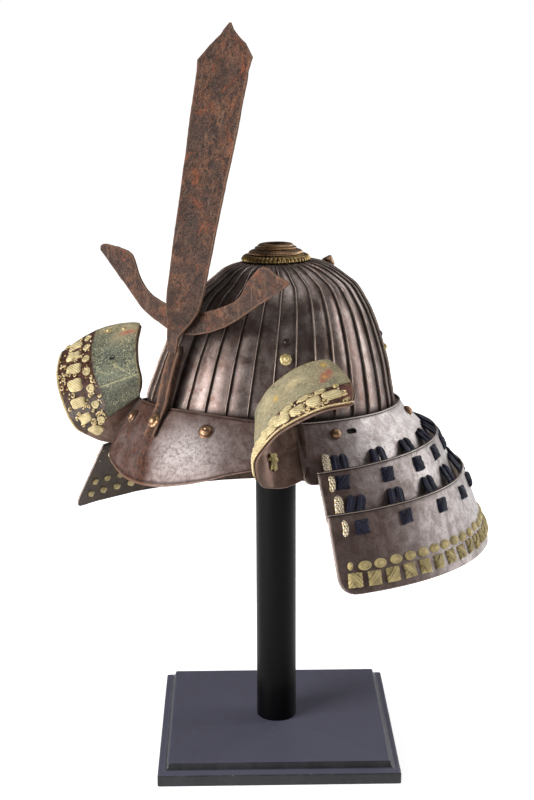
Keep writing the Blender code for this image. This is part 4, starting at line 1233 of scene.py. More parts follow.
# ---------------------------------------------------------------- crest
def make_crest():
    # blade
    shape = Shape("edge", "dirt")
    low, high = BLADE[0][0], BLADE[-1][0]
    stops = [row[0] for row in BLADE]
    heights = []
    for a, b in zip(stops, stops[1:]):
        parts = max(1, round((b - a) / 2.4))
        heights += [a + (b - a) * k / parts for k in range(parts)]
    heights.append(high)
    columns = 22
    points, edge, dirt = [], [], []
    for h in heights:
        k = max(i for i, s in enumerate(stops[:-1]) if s <= h)
        f = (h - stops[k]) / (stops[k + 1] - stops[k])
        _, left, right, y = [a + (b - a) * f for a, b in zip(BLADE[k], BLADE[k + 1])]
        for i in range(columns + 1):
            s = 2.0 * i / columns - 1.0
            s = math.copysign(abs(s) ** 0.8, s)
            half = right if s > 0 else left
            ragged = (wobble((s * 9.0, 0.0, h), 9.0, 6.0) * 0.7 + wobble((s * 9.0, 0.0, h), 3.5, 2.0) * 0.25) * soft(0.75, 1.0, abs(s)) * soft(1.0, 8.0, half)
            x = s * half + math.copysign(ragged, s)
            bend = wobble((x, 0.0, h), 46.0, 2.5) * 1.1 + wobble((x, 0.0, h), 17.0, 7.5) * 0.35
            points.append((x, y + bend * soft(60.0, 90.0, h), h))
            rim = (1.0 - abs(s)) * half
            edge.append(0.9 * hump(rim, 0.0, 0.9))
            dirt.append(0.0)
    shape.add(points, grid_faces(columns, len(heights) - 1), edge=edge, dirt=dirt)
    obj = piece("crest_blade", shape, PAINT["crest"], ["maedate_blade"])
    wall(obj, IRON, 0.0)
    ease_edges(obj, 0.35)

    # the two leaf-shaped arms, one sheet behind the blade
    leaves = [(-r, lo, hi, y) for r, lo, hi, y in reversed(LEAF_RIGHT)]
    leaves += [(r, lo, hi, y) for r, lo, hi, y in LEAF_LEFT]
    shape = Shape("edge", "dirt")
    columns, rows = 210, 14
    points, edge, dirt = [], [], []
    for j in range(rows + 1):
        v = j / rows
        for i in range(columns + 1):
            x, lo, hi, y = smooth_row(leaves, (len(leaves) - 1) * i / columns)
            lean = 0.30 * max(0.0, 1.0 - abs(x) / 45.0)
            ragged = (wobble((x, v * 5.0, 1.0), 8.0, 3.3) * 0.6) * (soft(0.6, 1.0, v) - soft(0.4, 0.0, v))
            h = lo + (hi - lo) * v + ragged
            bend = wobble((x, 0.0, h), 30.0, 4.5) * 0.8
            points.append((x, y + 2.65 + lean * (h - 78.0) + bend * soft(14.0, 40.0, abs(x)), h))
            rim = min(v, 1.0 - v) * (hi - lo)
            edge.append(0.8 * hump(rim, 0.0, 0.9))
            # painted shade down the middle, behind the blade
            dirt.append(0.5 * hump(x, 0.0, 16.0))
    shape.add(points, grid_faces(columns, rows), edge=edge, dirt=dirt)
    obj = piece("crest_leaves", shape, PAINT["crest"], ["maedate_leaves"])
    wall(obj, IRON, 0.0)
    ease_edges(obj, 0.35)

    # the holder: a folded channel, its face hollowed a little between raised edges
    section = (
        # across (share of half width), back (share of flange), forward mm
        (-1.0, 1.0, 0.0), (-1.0, 0.6, 0.0), (-1.0, 0.3, 0.0), (-0.97, 0.08, 0.15), (-0.88, 0.0, 0.4),
        (-0.72, 0.0, 0.35), (-0.5, 0.0, -0.15), (-0.25, 0.0, -0.5), (0.0, 0.0, -0.6), (0.25, 0.0, -0.5),
        (0.5, 0.0, -0.15), (0.72, 0.0, 0.35), (0.88, 0.0, 0.4), (0.97, 0.08, 0.15), (1.0, 0.3, 0.0),
        (1.0, 0.6, 0.0), (1.0, 1.0, 0.0),
    )
    shape = Shape("edge", "dirt")
    rows = 60
    points, edge, dirt = [], [], []
    for j in range(rows + 1):
        height, half_width, y, flange = smooth_row(STEM, (len(STEM) - 1) * (1.0 - j / rows))
        for across, back, forward in section:
            x = across * half_width
            p = (x, y + back * flange - forward, height)
            w = wobble(p, 9.0, 5.5) * 0.25
            points.append((x + w * abs(across), p[1] + w, height))
            edge.append(1.0 if 0.7 < abs(across) < 0.98 else 0.0)
            # painted shade in the hollow of the face and on the flanges
            dirt.append(0.5 * hump(across, 0.0, 0.3) + 0.6 * back)
    shape.add(points, grid_faces(len(section) - 1, rows), edge=edge, dirt=dirt)
    obj = piece("crest_holder", shape, PAINT["crest"], ["maedate_stem"])
    wall(obj, IRON, -1.0)
    ease_edges(obj, 0.3)


# ---------------------------------------------------------------- crown ornament and rivets
def make_crown():
    def skirt(a, r, z):
        share = soft(24.0, 31.0, r)
        wave = abs(math.sin(a * 24.0))
        return (0.9 * (wave - 0.6) * share, 0.35 * (wave - 0.6) * share)

    shape = Shape("dirt")
    profile = (
        (8.8, 3.4), (20.0, 3.6), (24.0, 3.7), (25.4, 3.5), (26.0, 3.0), (26.8, 3.2), (28.2, 3.1), (29.4, 2.6),
        (30.4, 1.7), (31.2, 0.6), (31.7, -0.4), (31.9, -1.1), (31.6, -1.7), (30.6, -1.4), (29.0, -0.9), (24.0, 0.3), (8.8, 0.3),
    )
    add_turned(shape, profile, 288, TEHEN_AT, TEHEN_FACES, skirt)
    ring_dirt = []
    for r, z in profile:
        for i in range(288):
            a = 2.0 * math.pi * i / 288
            groove = (1.0 - abs(math.sin(a * 24.0))) ** 2
            ring_dirt.append(min(1.0, groove * soft(25.0, 29.0, r) + 0.8 * hump(r, 26.0, 0.7)))
    shape.fields["dirt"] = ring_dirt
    piece("crown_skirt", shape, PAINT["old_brass"], ["tehen_base_ring"])

    def beads(a, r, z):
        share = soft(22.5, 24.4, r)
        return (0.4 * (abs(math.sin(a * 26.0)) - 0.5) * share, 0.0)

    shape = Shape("dirt")
    profile = (
        (8.8, 7.9), (19.6, 8.0), (20.6, 7.9), (21.4, 7.2), (22.0, 7.3), (23.2, 7.0), (24.2, 6.3), (24.9, 5.5),
        (25.1, 4.9), (24.9, 4.2), (24.4, 3.95), (8.8, 3.95),
    )
    add_turned(shape, profile, 208, TEHEN_AT, TEHEN_FACES, beads)
    shape.fields["dirt"] = [min(1.0, hump(r, 21.4, 0.5) + 0.7 * (1.0 - abs(math.sin(2.0 * math.pi * i / 208 * 26.0))) ** 2 * soft(22.5, 24.4, r)) for r, z in profile for i in range(208)]
    piece("crown_ring", shape, PAINT["copper"], ["tehen_middle_ring"])

    shape = Shape("dirt")
    profile = (
        (8.8, 12.9), (9.4, 13.3), (10.6, 13.4), (13.4, 13.3), (15.0, 12.9), (16.2, 12.2), (16.8, 11.4), (16.7, 10.8),
        (17.2, 10.4), (18.4, 10.2), (19.2, 9.8), (19.5, 9.2), (19.3, 8.6), (19.0, 8.35), (8.8, 8.35),
    )
    add_turned(shape, profile, 96, TEHEN_AT, TEHEN_FACES)
    shape.fields["dirt"] = [min(1.0, hump(z, 10.8, 0.35) * soft(15.0, 16.5, r) + hump(r, 8.8, 0.6)) for r, z in profile for i in range(96)]
    piece("crown_collar", shape, PAINT["copper"], ["tehen_collar"])

    here, out = bowl_spot(180.0, 119.6)
    here = here + out * 1.5
    shape = Shape("dirt")
    add_turned(shape, (
        (0.0, 12.5), (0.8, 12.35), (1.5, 11.9), (2.3, 11.0), (3.4, 9.6), (4.8, 8.1), (5.9, 6.7), (6.4, 5.6), (6.4, 4.9),
        (5.6, 4.5), (3.4, 4.2), (2.8, 3.6), (2.8, -0.4), (3.9, -0.7), (4.2, -1.3), (4.2, -2.6), (0.0, -2.6),
    ), 40, here, out)
    piece("badge_knob", shape, PAINT["dark_brass"], ["kasajirushi_post"])
    rear = out.cross(Vector((1.0, 0.0, 0.0))).normalized()
    if rear.y < 0.0:
        rear = -rear
    middle = here + out * 2.0 + rear * 4.6
    turn = out.to_track_quat("Z", "Y").to_matrix()
    shape = Shape("dirt")
    points = []
    for i in range(72):
        a = 2.0 * math.pi * i / 72
        for k in range(12):
            b = 2.0 * math.pi * k / 12
            r = 8.4 + 0.8 * math.cos(b)
            points.append(middle + turn @ Vector((r * math.cos(a), r * math.sin(a), 0.8 * math.sin(b))))
    faces = []
    for i in range(72):
        for k in range(12):
            i2, k2 = (i + 1) % 72, (k + 1) % 12
            faces.append((i * 12 + k, i2 * 12 + k, i2 * 12 + k2, i * 12 + k2))
    shape.add(points, faces)
    piece("badge_ring", shape, PAINT["black"], ["kasajirushi_ring"])


def rivet(name, node, paint, at, out, radius, height, kind, foot=0.4):
    shape = Shape("dirt")
    dirt = []
    if kind == "dome":
        profile = [(0.0, height)] + [
            (radius * math.sin(a), foot + 0.6 + (height - foot - 0.6) * math.cos(a))
            for a in [math.radians(7.5 * k) for k in range(1, 13)]
        ] + [(radius, foot), (0.0, foot)]
        flute = None
    elif kind == "ringed":
        # a flat washer, a raised head and a small ring struck on its top
        r = radius
        profile = [
            (0.0, height * 0.93), (r * 0.12, height * 0.94), (r * 0.17, height * 1.0), (r * 0.24, height * 1.02),
            (r * 0.30, height * 0.96), (r * 0.42, height * 0.97), (r * 0.58, height * 0.88), (r * 0.72, height * 0.70),
            (r * 0.80, height * 0.48), (r * 0.82, height * 0.34), (r * 0.86, height * 0.30), (r * 0.96, height * 0.26),
            (r * 1.0, height * 0.18), (r * 1.0, foot), (0.0, foot),
        ]
        flute = None
    else:
        # a petalled washer under a round head
        r = radius
        profile = [
            (0.0, height), (r * 0.16, height * 0.99), (r * 0.32, height * 0.93), (r * 0.45, height * 0.80),
            (r * 0.53, height * 0.60), (r * 0.56, height * 0.44), (r * 0.64, height * 0.46), (r * 0.80, height * 0.44),
            (r * 0.93, height * 0.34), (r * 1.0, height * 0.2), (r * 0.98, foot), (0.0, foot),
        ]

        def flute(a, rr, z):
            share = soft(0.6 * r, 0.95 * r, rr)
            wave = abs(math.cos(a * 4.0))
            return (-0.06 * r * (1.0 - wave) ** 1.5 * share, -0.06 * height * (1.0 - wave) * share)
    steps = 48
    add_turned(shape, profile, steps, at, out, flute)
    for r, z in profile:
        crease_shade_and_grime = 0.0
        if kind == "ringed":
            crease_shade_and_grime = 0.9 * hump(r, radius * 0.84, radius * 0.05) + 0.6 * hump(r, radius * 0.32, radius * 0.05)
        if kind == "petals":
            crease_shade_and_grime = 0.45 * hump(r, radius * 0.57, radius * 0.05)
        dirt += [min(1.0, crease_shade_and_grime)] * (1 if r <= 0.001 else steps)
    shape.fields["dirt"] = dirt
    piece(name, shape, paint, [node])


def make_rivets():
    for name, degrees, low, high in (
        ("front_left", 55.0, 50.0, 64.5), ("front_right", -55.0, 50.0, 64.5),
        ("rear_left", 135.0, 54.5, 66.5), ("rear_right", -135.0, 54.5, 66.5),
    ):
        here, out = bowl_spot(degrees, low)
        rivet("shiten_" + name, "shiten_rivet_" + name, PAINT["gilt"], here, out, 5.4, 4.8, "petals")
        here, out = bowl_spot(degrees, high)
        rivet("stud_" + name, "small_stud_" + name, PAINT["black"], here, out, 3.4, 4.0, "dome")
    first = LAME["shikoro_lame_1"]
    for name, degrees, level in (
        ("front_left", 77.0, 0.77), ("front_right", -77.0, 0.79),
        ("rear_left", 134.5, 0.75), ("rear_right", -134.5, 0.75),
    ):
        here, out = lame_spot(first, degrees, level)
        rivet("guard_" + name, "lame_rivet_" + name, PAINT["dark_brass"], here, out, 5.0, 4.6, "dome", 0.0)
    for side, place in (("left", 3.2), ("right", -3.06)):
        here, out = peak_spot(place, 0.28)
        rivet("brow_rivet_" + side, "peak_rivet_" + side, PAINT["dark_brass"], here, out, 6.6, 4.6, "ringed")
    rivet("holder_rivet", "stem_rivet", PAINT["copper"], Vector((0.0, -135.5, -8.4)), Vector((0.0, -0.894, 0.447)), 6.6, 4.8, "petals", 0.5)


# ---------------------------------------------------------------- lacing
def ribbon(shape, path, width, thick, ridges=4, ridge=0.28, seed=0.0, round_ends=True, sides=22):
    """A flat braid along a path of (point, direction out of the surface), with ridges along it."""
    count = len(path)
    points, along, across, dirt = [], [], [], []
    run = 0.0
    for i, (p, n) in enumerate(path):
        before, after = path[max(0, i - 1)][0], path[min(count - 1, i + 1)][0]
        forward = (after - before).normalized()
        side = forward.cross(n).normalized()
        up = side.cross(forward).normalized()
        if i:
            run += (p - path[i - 1][0]).length
        t = i / (count - 1)
        shape_width = 1.0
        if round_ends:
            shape_width = (max(0.0, 1.0 - abs(2.0 * t - 1.0) ** 5)) ** 0.5 * 0.75 + 0.25
        for k in range(sides):
            a = 2.0 * math.pi * k / sides
            c, s = math.cos(a), math.sin(a)
            x = width / 2.0 * math.copysign(abs(c) ** 0.85, c) * shape_width
            y = thick / 2.0 * math.copysign(abs(s) ** 0.8, s) * (0.6 + 0.4 * shape_width)
            if s > 0.0:
                y += ridge * math.cos(2.0 * math.pi * ridges * x / max(0.1, width * shape_width)) * min(1.0, s * 1.6)
            points.append(p + side * x + up * y)
            along.append(run + seed)
            across.append(x)
            # painted shade on the underside, against the plate
            dirt.append(0.0 if s > -0.2 else 0.8)
    faces = []
    for i in range(count - 1):
        for k in range(sides):
            k2 = (k + 1) % sides
            faces.append((i * sides + k, (i + 1) * sides + k, (i + 1) * sides + k2, i * sides + k2)[::-1])
    faces.append(tuple(range(sides))[::-1][::-1])
    faces.append(tuple(range((count - 1) * sides, count * sides))[::-1])
    shape.add(points, faces, along=along, across=across, dirt=dirt)


def over_lame(at, degrees, height, dx, out):
    """A point over a lame: at a bearing and a height of its table, dx mm further round, out mm off it."""
    v = lame_v(at, height)
    u = lame_u(at, degrees, min(0.99, max(0.01, v)))
    reach = (Vector(at(u + 0.004, v)) - Vector(at(u - 0.004, v))).length / 0.008
    u += dx / reach
    n = lame_normal(at, u, v)
    return Vector(at(u, v)) + n * out, n


def arch(at, degrees, start, end, lift, dx=(0.0, 0.0), steps=12, ends=-1.2):
    """A path that comes out of a lame, passes over it and goes in again: start and end are heights."""
    path = []
    for i in range(steps + 1):
        t = i / steps
        rise = math.sin(math.pi * t) ** 0.55
        h = start + (end - start) * t
        p, n = over_lame(at, degrees, h, dx[0] + (dx[1] - dx[0]) * t, ends + (lift - ends) * rise)
        path.append((p, n))
    return path


def hanging(at, top, low, start, end, dx, lift, reach, steps=12):
    """A lace that comes out of its hole, stands off the plate and goes down behind the next one's edge."""
    path = []
    for i in range(steps + 1):
        t = i / steps
        out = -1.6 + (lift + 1.6) * min(1.0, t / 0.22) ** 0.6 + reach * soft(0.2, 0.85, t)
        p, n = over_lame(at, top + (low - top) * t, start + (end - start) * t, dx, out)
        path.append((p, n))
    return path


PAIRS_ONE = (
    # bearing at the top, at the bottom
    (75.5, 73.7), (91.6, 88.6), (108.2, 104.2), (124.0, 120.0), (137.0, 133.4), (151.0, 148.0), (165.4, 163.9), (180.0, 180.0),
)
PAIRS_TWO = (
    (77.5, 74.1), (91.2, 88.8), (106.9, 104.3), (120.6, 117.8), (134.6, 131.9), (149.2, 147.6), (164.4, 163.8), (180.0, 180.0),
)


def make_laces():
    fields = ("along", "across", "dirt")
    one, two, three = (LAME[n] for n in LAMES)
    pairs = Shape(*fields)
    index = 0
    # the upright pairs between the lames; they lean a little towards the front as they go down
    for at, pairs_at, wide, start, end, reach in (
        (one, PAIRS_ONE, 7.8, -25.6, -41.5, 4.6),
        (two, PAIRS_TWO, 8.2, -56.2, -73.6, 4.2),
    ):
        for top, low in pairs_at:
            for sign in (1.0, -1.0) if top < 179.0 else (1.0,):
                for side in (-1.0, 1.0):
                    index += 1
                    sway = (chance(index, 1) - 0.5) * 1.6
                    apart = wide * 0.55 + (chance(index, 3) - 0.3) * 0.8
                    path = hanging(at, sign * top, sign * low, start + sway, end, side * apart, 2.1 + chance(index, 5) * 0.5, reach)
                    ribbon(pairs, path, wide + (chance(index, 7) - 0.5) * 0.8, 3.1, 4, 0.34, chance(index) * 5.0)
    piece("lacing_pairs", pairs, PAINT["navy"], sharp=60.0)

    # the crossed knots under each lame's upper edge
    knots = Shape(*fields)
    for at, height, list_of in ((two, -44.7, KNOTS_TWO), (three, -78.5, KNOTS_THREE)):
        for degrees in both_sides(list_of):
            index += 1
            cross_knot(knots, at, degrees, height + (chance(index, 2) - 0.5) * 1.4, 14.8, 13.2, 2.6, index)
    piece("lacing_knots", knots, PAINT["navy"], sharp=60.0)

    # the end braids: long ones between the lames, short ones under the edges
    ends = Shape(*fields)
    for sign in (1.0, -1.0):
        path = hanging(one, sign * 70.3, sign * 69.2, -23.6, -42.0, 0.0, 2.2, 4.6)
        ribbon(ends, path, 7.2, 3.6, 2, 0.35, 1.0)
        path = hanging(two, sign * 71.2, sign * 70.0, -54.6, -73.0, 0.0, 2.2, 4.0)
        ribbon(ends, path, 8.0, 3.8, 2, 0.35, 3.0)
        ribbon(ends, arch(two, sign * 69.6, -39.0, -50.0, 2.2), 5.4, 3.0, 2, 0.3, 2.0)
        ribbon(ends, arch(three, sign * 70.6, -73.0, -84.0, 2.2), 5.0, 3.0, 2, 0.3, 4.0)
    piece("lacing_end_braids", ends, PAINT["braid"], sharp=60.0)

    # gold knots along the lowest edge
    gold = Shape(*fields)
    ovals = [71.0, 74.9, 79.2, 83.9, 88.4, 92.9, 97.2, 101.7, 106.2, 110.9]
    while ovals[-1] < 175.0:
        ovals.append(ovals[-1] + 4.75)
    for degrees in both_sides(ovals):
        index += 1
        small = min(degrees, 360.0 - degrees) < 72.0
        height = -108.9 + (chance(index, 4) - 0.5) * 1.6
        oval_knot(gold, three, degrees, height, 5.2 if small else 12.6 + 1.4 * chance(index, 6), 7.6 if small else 8.6, 2.4, index)
    count = 43
    for i in range(count):
        degrees = 72.0 + (360.0 - 144.0) * i / (count - 1)
        index += 1
        cross_knot(gold, three, degrees, -119.2 + (chance(index, 4) - 0.5) * 0.8, 15.6 - 2.6 * soft(80.0, 110.0, min(degrees, 360.0 - degrees)), 12.8, 2.2, index)
    piece("gold_knots", gold, PAINT["gold"], sharp=60.0)

    # the ends of the same knots show on the inside of the lowest lame, as plain short stitches
    inside = Shape(*fields)
    for i in range(43):
        degrees = 72.0 + (360.0 - 144.0) * i / 42
        for height, size in ((-106.5, 8.5), (-119.0, 10.0)):
            index += 1
            inner_stitch(inside, three, degrees, height, size, index)
    piece("gold_stitches_inside", inside, PAINT["gold"], sharp=60.0)


KNOTS_TWO = (73.5, 90.1, 105.3, 118.6, 133.9, 149.3, 164.6, 180.0)
KNOTS_THREE = (75.6, 89.9, 105.1, 119.9, 134.4, 149.4, 164.7, 180.0)


def both_sides(bearings):
    return sorted({round(b, 3) for b in bearings} | {round(360.0 - b, 3) for b in bearings})


def cross_knot(shape, at, degrees, height, wide, tall, thick, index, cells=18):
    """A square knot of two flat braids crossed corner to corner: pinched sides, ridges along each braid."""
    lean = (chance(index, 14) - 0.5) * 0.18
    flip = -1.0 if chance(index, 15) < 0.35 else 1.0
    points, along, across, dirt = [], [], [], []
    for j in range(cells + 1):
        for i in range(cells + 1):
            a, b = 2.0 * i / cells - 1.0, 2.0 * j / cells - 1.0
            corner = 0.13 * (a * b) ** 4
            pinch_x = 1.0 - corner - 0.10 * (1.0 - b * b) * (0.4 + 1.2 * chance(index, 16))
            pinch_y = 1.0 - corner - 0.10 * (1.0 - a * a) * (0.4 + 1.2 * chance(index, 17))
            x, y = wide / 2.0 * a * pinch_x, tall / 2.0 * b * pinch_y
            rim = max(abs(a), abs(b))
            dome = (1.0 - rim**4.0) ** 0.55 if rim < 1.0 else 0.0
            p_down, p_up = (a * flip - b) * 0.7071, (a * flip + b) * 0.7071
            over = soft(0.56, 0.44, abs(p_down))
            ridge = math.cos(p_down * 14.5) * over + math.cos(p_up * 14.5) * (1.0 - over)
            out = -0.7 + (thick + 0.7) * dome + (0.85 * over + 0.30 * ridge) * dome
            q, n = over_lame(at, degrees, height + (y - x * lean) * LAMESLOPE, x + y * lean, out)
            points.append(q)
            along.append((p_up if over > 0.5 else p_down) * wide * 0.5)
            across.append((p_down if over > 0.5 else p_up) * wide * 0.5)
            # painted shade in the groove where the braids cross, in the ridge valleys and round the rim
            dirt.append(min(1.0, 0.9 * hump(abs(p_down), 0.53, 0.07) * dome + 0.45 * (0.5 - 0.5 * ridge) + 0.7 * soft(0.93, 1.0, rim)))
    faces = grid_faces(cells, cells)
    # a flat back closes it, out of sight
    base = len(points)
    ring = [i for i in range(cells)] + [(j * (cells + 1)) + cells for j in range(cells)]
    ring += [cells * (cells + 1) + i for i in range(cells, 0, -1)] + [j * (cells + 1) for j in range(cells, 0, -1)]
    q, n = over_lame(at, degrees, height, 0.0, -1.0)
    points.append(q)
    along.append(0.0)
    across.append(0.0)
    dirt.append(1.0)
    faces += [(ring[(k + 1) % len(ring)], ring[k], base) for k in range(len(ring))]
    shape.add(points, faces, along=along, across=across, dirt=dirt)


LAMESLOPE = 0.92


def oval_knot(shape, at, degrees, height, wide, tall, thick, index):
    """A short flat loop lying along the lame: a low dome with a groove inside its rim."""
    rings, steps = 9, 28
    points, along, across, dirt, faces = [], [], [], [], []
    tilt = (chance(index, 8) - 0.5) * 0.25
    for j in range(rings):
        f = j / (rings - 1)
        for k in range(steps):
            a = 2.0 * math.pi * k / steps
            x = wide / 2.0 * f * math.cos(a)
            y = tall / 2.0 * f * math.sin(a)
            x, y = x + y * tilt, y - x * tilt * 0.4
            dome = thick * (1.0 - f**3.2) ** 0.6 if f < 1.0 else -0.6
            dome -= 0.50 * hump(f, 0.66, 0.11)
            p, n = over_lame(at, degrees, height + y * LAMESLOPE, x, dome)
            points.append(p)
            along.append(wide * f * 0.6 + a * 2.2)
            across.append(f * 3.0)
            # painted shade in the groove inside the rim
            dirt.append(0.6 * hump(f, 0.66, 0.09))
    for j in range(rings - 1):
        for k in range(steps):
            k2 = (k + 1) % steps
            faces.append((j * steps + k, (j + 1) * steps + k, (j + 1) * steps + k2, j * steps + k2))
    faces.append(tuple((rings - 1) * steps + k for k in reversed(range(steps))))
    shape.add(points, faces, along=along, across=across, dirt=dirt)


def inner_stitch(shape, at, degrees, height, size, index):
    path = []
    for i in range(7):
        t = i / 6
        f = 2.0 * t - 1.0
        out = -LAME_WALL - (1.1 * (1.0 - f * f) ** 0.6 - 0.5)
        p, n = over_lame(at, degrees, height + 0.15 * size * f, size * 0.5 * f, out)
        path.append((p, -n))
    ribbon(shape, path, 6.2, 1.8, 3, 0.15, chance(index) * 3.0, sides=14)


# ---------------------------------------------------------------- knots and studs on the wings
def make_wing_knots():
    fields = ("along", "across", "dirt")
    for side in ("left", "right"):
        big, small, bright = Shape(*fields), Shape(*fields), Shape(*fields)
        index = 100 if side == "left" else 300
        for u, v in PAD_LINE[side]:
            index += 1
            wide = 12.6 + chance(index, 3) * 1.8 if side == "left" else 10.8 + chance(index, 3) * 2.4
            wing_pad(big, side, u, v, wide, 11.0 + chance(index, 4) * 2.0, 2.1, index)
        for u, v in CURL_LINE[side]:
            index += 1
            wing_curl(small, side, u, v, 10.0 if side == "left" else 8.4, 6.0 if side == "left" else 7.0, index)
        # loose loops and dots of gold thread around the pads
        border = BAND_EDGE[side]
        first, last, count = (0.32, 0.99, 150) if side == "right" else (0.36, 0.985, 130)
        pads = [(u, v, 6.4) for u, v in PAD_LINE[side]] + [(u, v, 3.8) for u, v in CURL_LINE[side]]
        for i in range(count):
            index += 1
            u = first + (last - first) * (i + 0.5 * chance(index, 4)) / count
            top = line_at(border, u) + 0.03
            v = top + (0.955 - top) * chance(index, 5)
            if any(math.hypot((u - pu) * 150.0, (v - pv) * 62.0) < r for pu, pv, r in pads):
                continue
            if chance(index, 12) < 0.5:
                wing_loop(bright, side, u, v, 2.6 + 1.2 * chance(index, 13), index)
            else:
                here, out = wing_spot(side, u, v, 0.0)
                add_turned(bright, [(0.0, 0.9), (0.5, 0.8), (0.85, 0.4), (0.95, -0.2), (0.0, -0.2)], 8, here, out, along=index * 0.7)
        piece("wing_pads_" + side, big, PAINT["pad_gold"], sharp=60.0)
        piece("wing_small_knots_" + side, small, PAINT["pad_gold"], sharp=60.0)
        piece("wing_gold_loops_" + side, bright, PAINT["gold_bright"], sharp=60.0)
        # the gold cord sewn along the outer edge
        edge = Shape(*fields)
        start, end = (0.36, 1.0) if side == "left" else (0.33, 0.97)
        path = []
        for i in range(220):
            u = start + (end - start) * i / 219
            weave = 0.18 * math.sin(i * 1.9)
            path.append(wing_shift(side, u, 0.980, 0.0, weave, 0.25 + 0.12 * math.sin(i * 0.95)))
        ribbon(edge, path, 1.9, 1.3, 1, 0.1, 0.0, True, 8)
        piece("wing_edge_cord_" + side, edge, PAINT["gold_bright"], sharp=60.0)


def wing_curl(shape, side, u, v, wide, tall, index):
    """A braid knot curled in on itself: a closed, flattened ring with a filled middle."""
    loops = []
    for i in range(13):
        a = 2.0 * math.pi * i / 12
        x = (wide / 2.0 - 1.5) * math.cos(a) + 0.5 * math.sin(2.0 * a + index)
        y = (tall / 2.0 - 1.4) * math.sin(a)
        loops.append(wing_shift(side, u, v, x, y, 0.35 + 0.25 * math.sin(3.0 * a + index)))
    ribbon(shape, loops, 2.6, 1.9, 2, 0.15, index, False, 12)
    wing_pad(shape, side, u, v, wide * 0.45, tall * 0.45, 0.9, index)


def wing_spot(side, u, v, out):
    n = wing_normal(u, v)
    n = Vector((n.x if side == "left" else -n.x, n.y, n.z))
    return wing_place(side, u, v, 0.0) + n * (1.72 + out), n


def wing_shift(side, u, v, dx, dy, out):
    """A point near (u, v), dx mm along the strip and dy mm across it."""
    return wing_spot(side, u + dx / 150.0, v + dy / 62.0, out)


def wing_pad(shape, side, u, v, wide, tall, thick, index):
    rings, steps = 8, 28
    points, along, across, dirt, faces = [], [], [], [], []
    tilt = (chance(index, 8) - 0.5) * 0.5
    for j in range(rings):
        f = j / (rings - 1)
        for k in range(steps):
            a = 2.0 * math.pi * k / steps
            # a soft square with pinched sides
            r = 1.0 + 0.10 * math.cos(4.0 * (a - math.pi / 4.0)) + 0.05 * math.cos(3.0 * a + index)
            x = wide / 2.0 * f * math.cos(a) * r
            y = tall / 2.0 * f * math.sin(a) * r
            x, y = x + y * tilt, y - x * tilt
            dome = thick * (1.0 - f**3.0) ** 0.55 if f < 1.0 else -0.9
            p, n = wing_shift(side, u, v, x, y, dome)
            points.append(p)
            along.append(x * 0.8 + y * 0.9 + index)
            across.append(y * 0.8 - x * 0.6)
            dirt.append(0.0)
    for j in range(rings - 1):
        for k in range(steps):
            k2 = (k + 1) % steps
            face = (j * steps + k, (j + 1) * steps + k, (j + 1) * steps + k2, j * steps + k2)
            faces.append(face if side == "right" else face[::-1])
    shape.add(points, faces, along=along, across=across, dirt=dirt)


def wing_loop(shape, side, u, v, size, index):
    """A small open curl of thread."""
    steps, sides = 16, 8
    points, along, across, dirt, faces = [], [], [], [], []
    start = chance(index, 6) * 6.28
    for i in range(steps + 1):
        t = i / steps
        a = start + 5.0 * t
        r = size * 0.5 * (0.55 + 0.45 * math.sin(math.pi * t))
        x, y = r * math.cos(a), r * 0.8 * math.sin(a)
        lift = 0.5 + 0.5 * math.sin(math.pi * t)
        p, n = wing_shift(side, u, v, x, y, lift)
        q, _ = wing_shift(side, u, v, x - math.sin(a) * 0.2, y + 0.8 * math.cos(a) * 0.2, lift)
        forward = (q - p).normalized()
        side_way = forward.cross(n).normalized()
        for k in range(sides):
            b = 2.0 * math.pi * k / sides
            points.append(p + side_way * 0.8 * math.cos(b) + n * 0.7 * math.sin(b))
            along.append(t * 12.0)
            across.append(0.8 * math.cos(b))
            dirt.append(0.0)
    for i in range(steps):
        for k in range(sides):
            k2 = (k + 1) % sides
            faces.append((i * sides + k, i * sides + k2, (i + 1) * sides + k2, (i + 1) * sides + k))
    faces.append(tuple(range(sides)))
    faces.append(tuple(range(steps * sides, (steps + 1) * sides))[::-1])
    shape.add(points, faces, along=along, across=across, dirt=dirt)


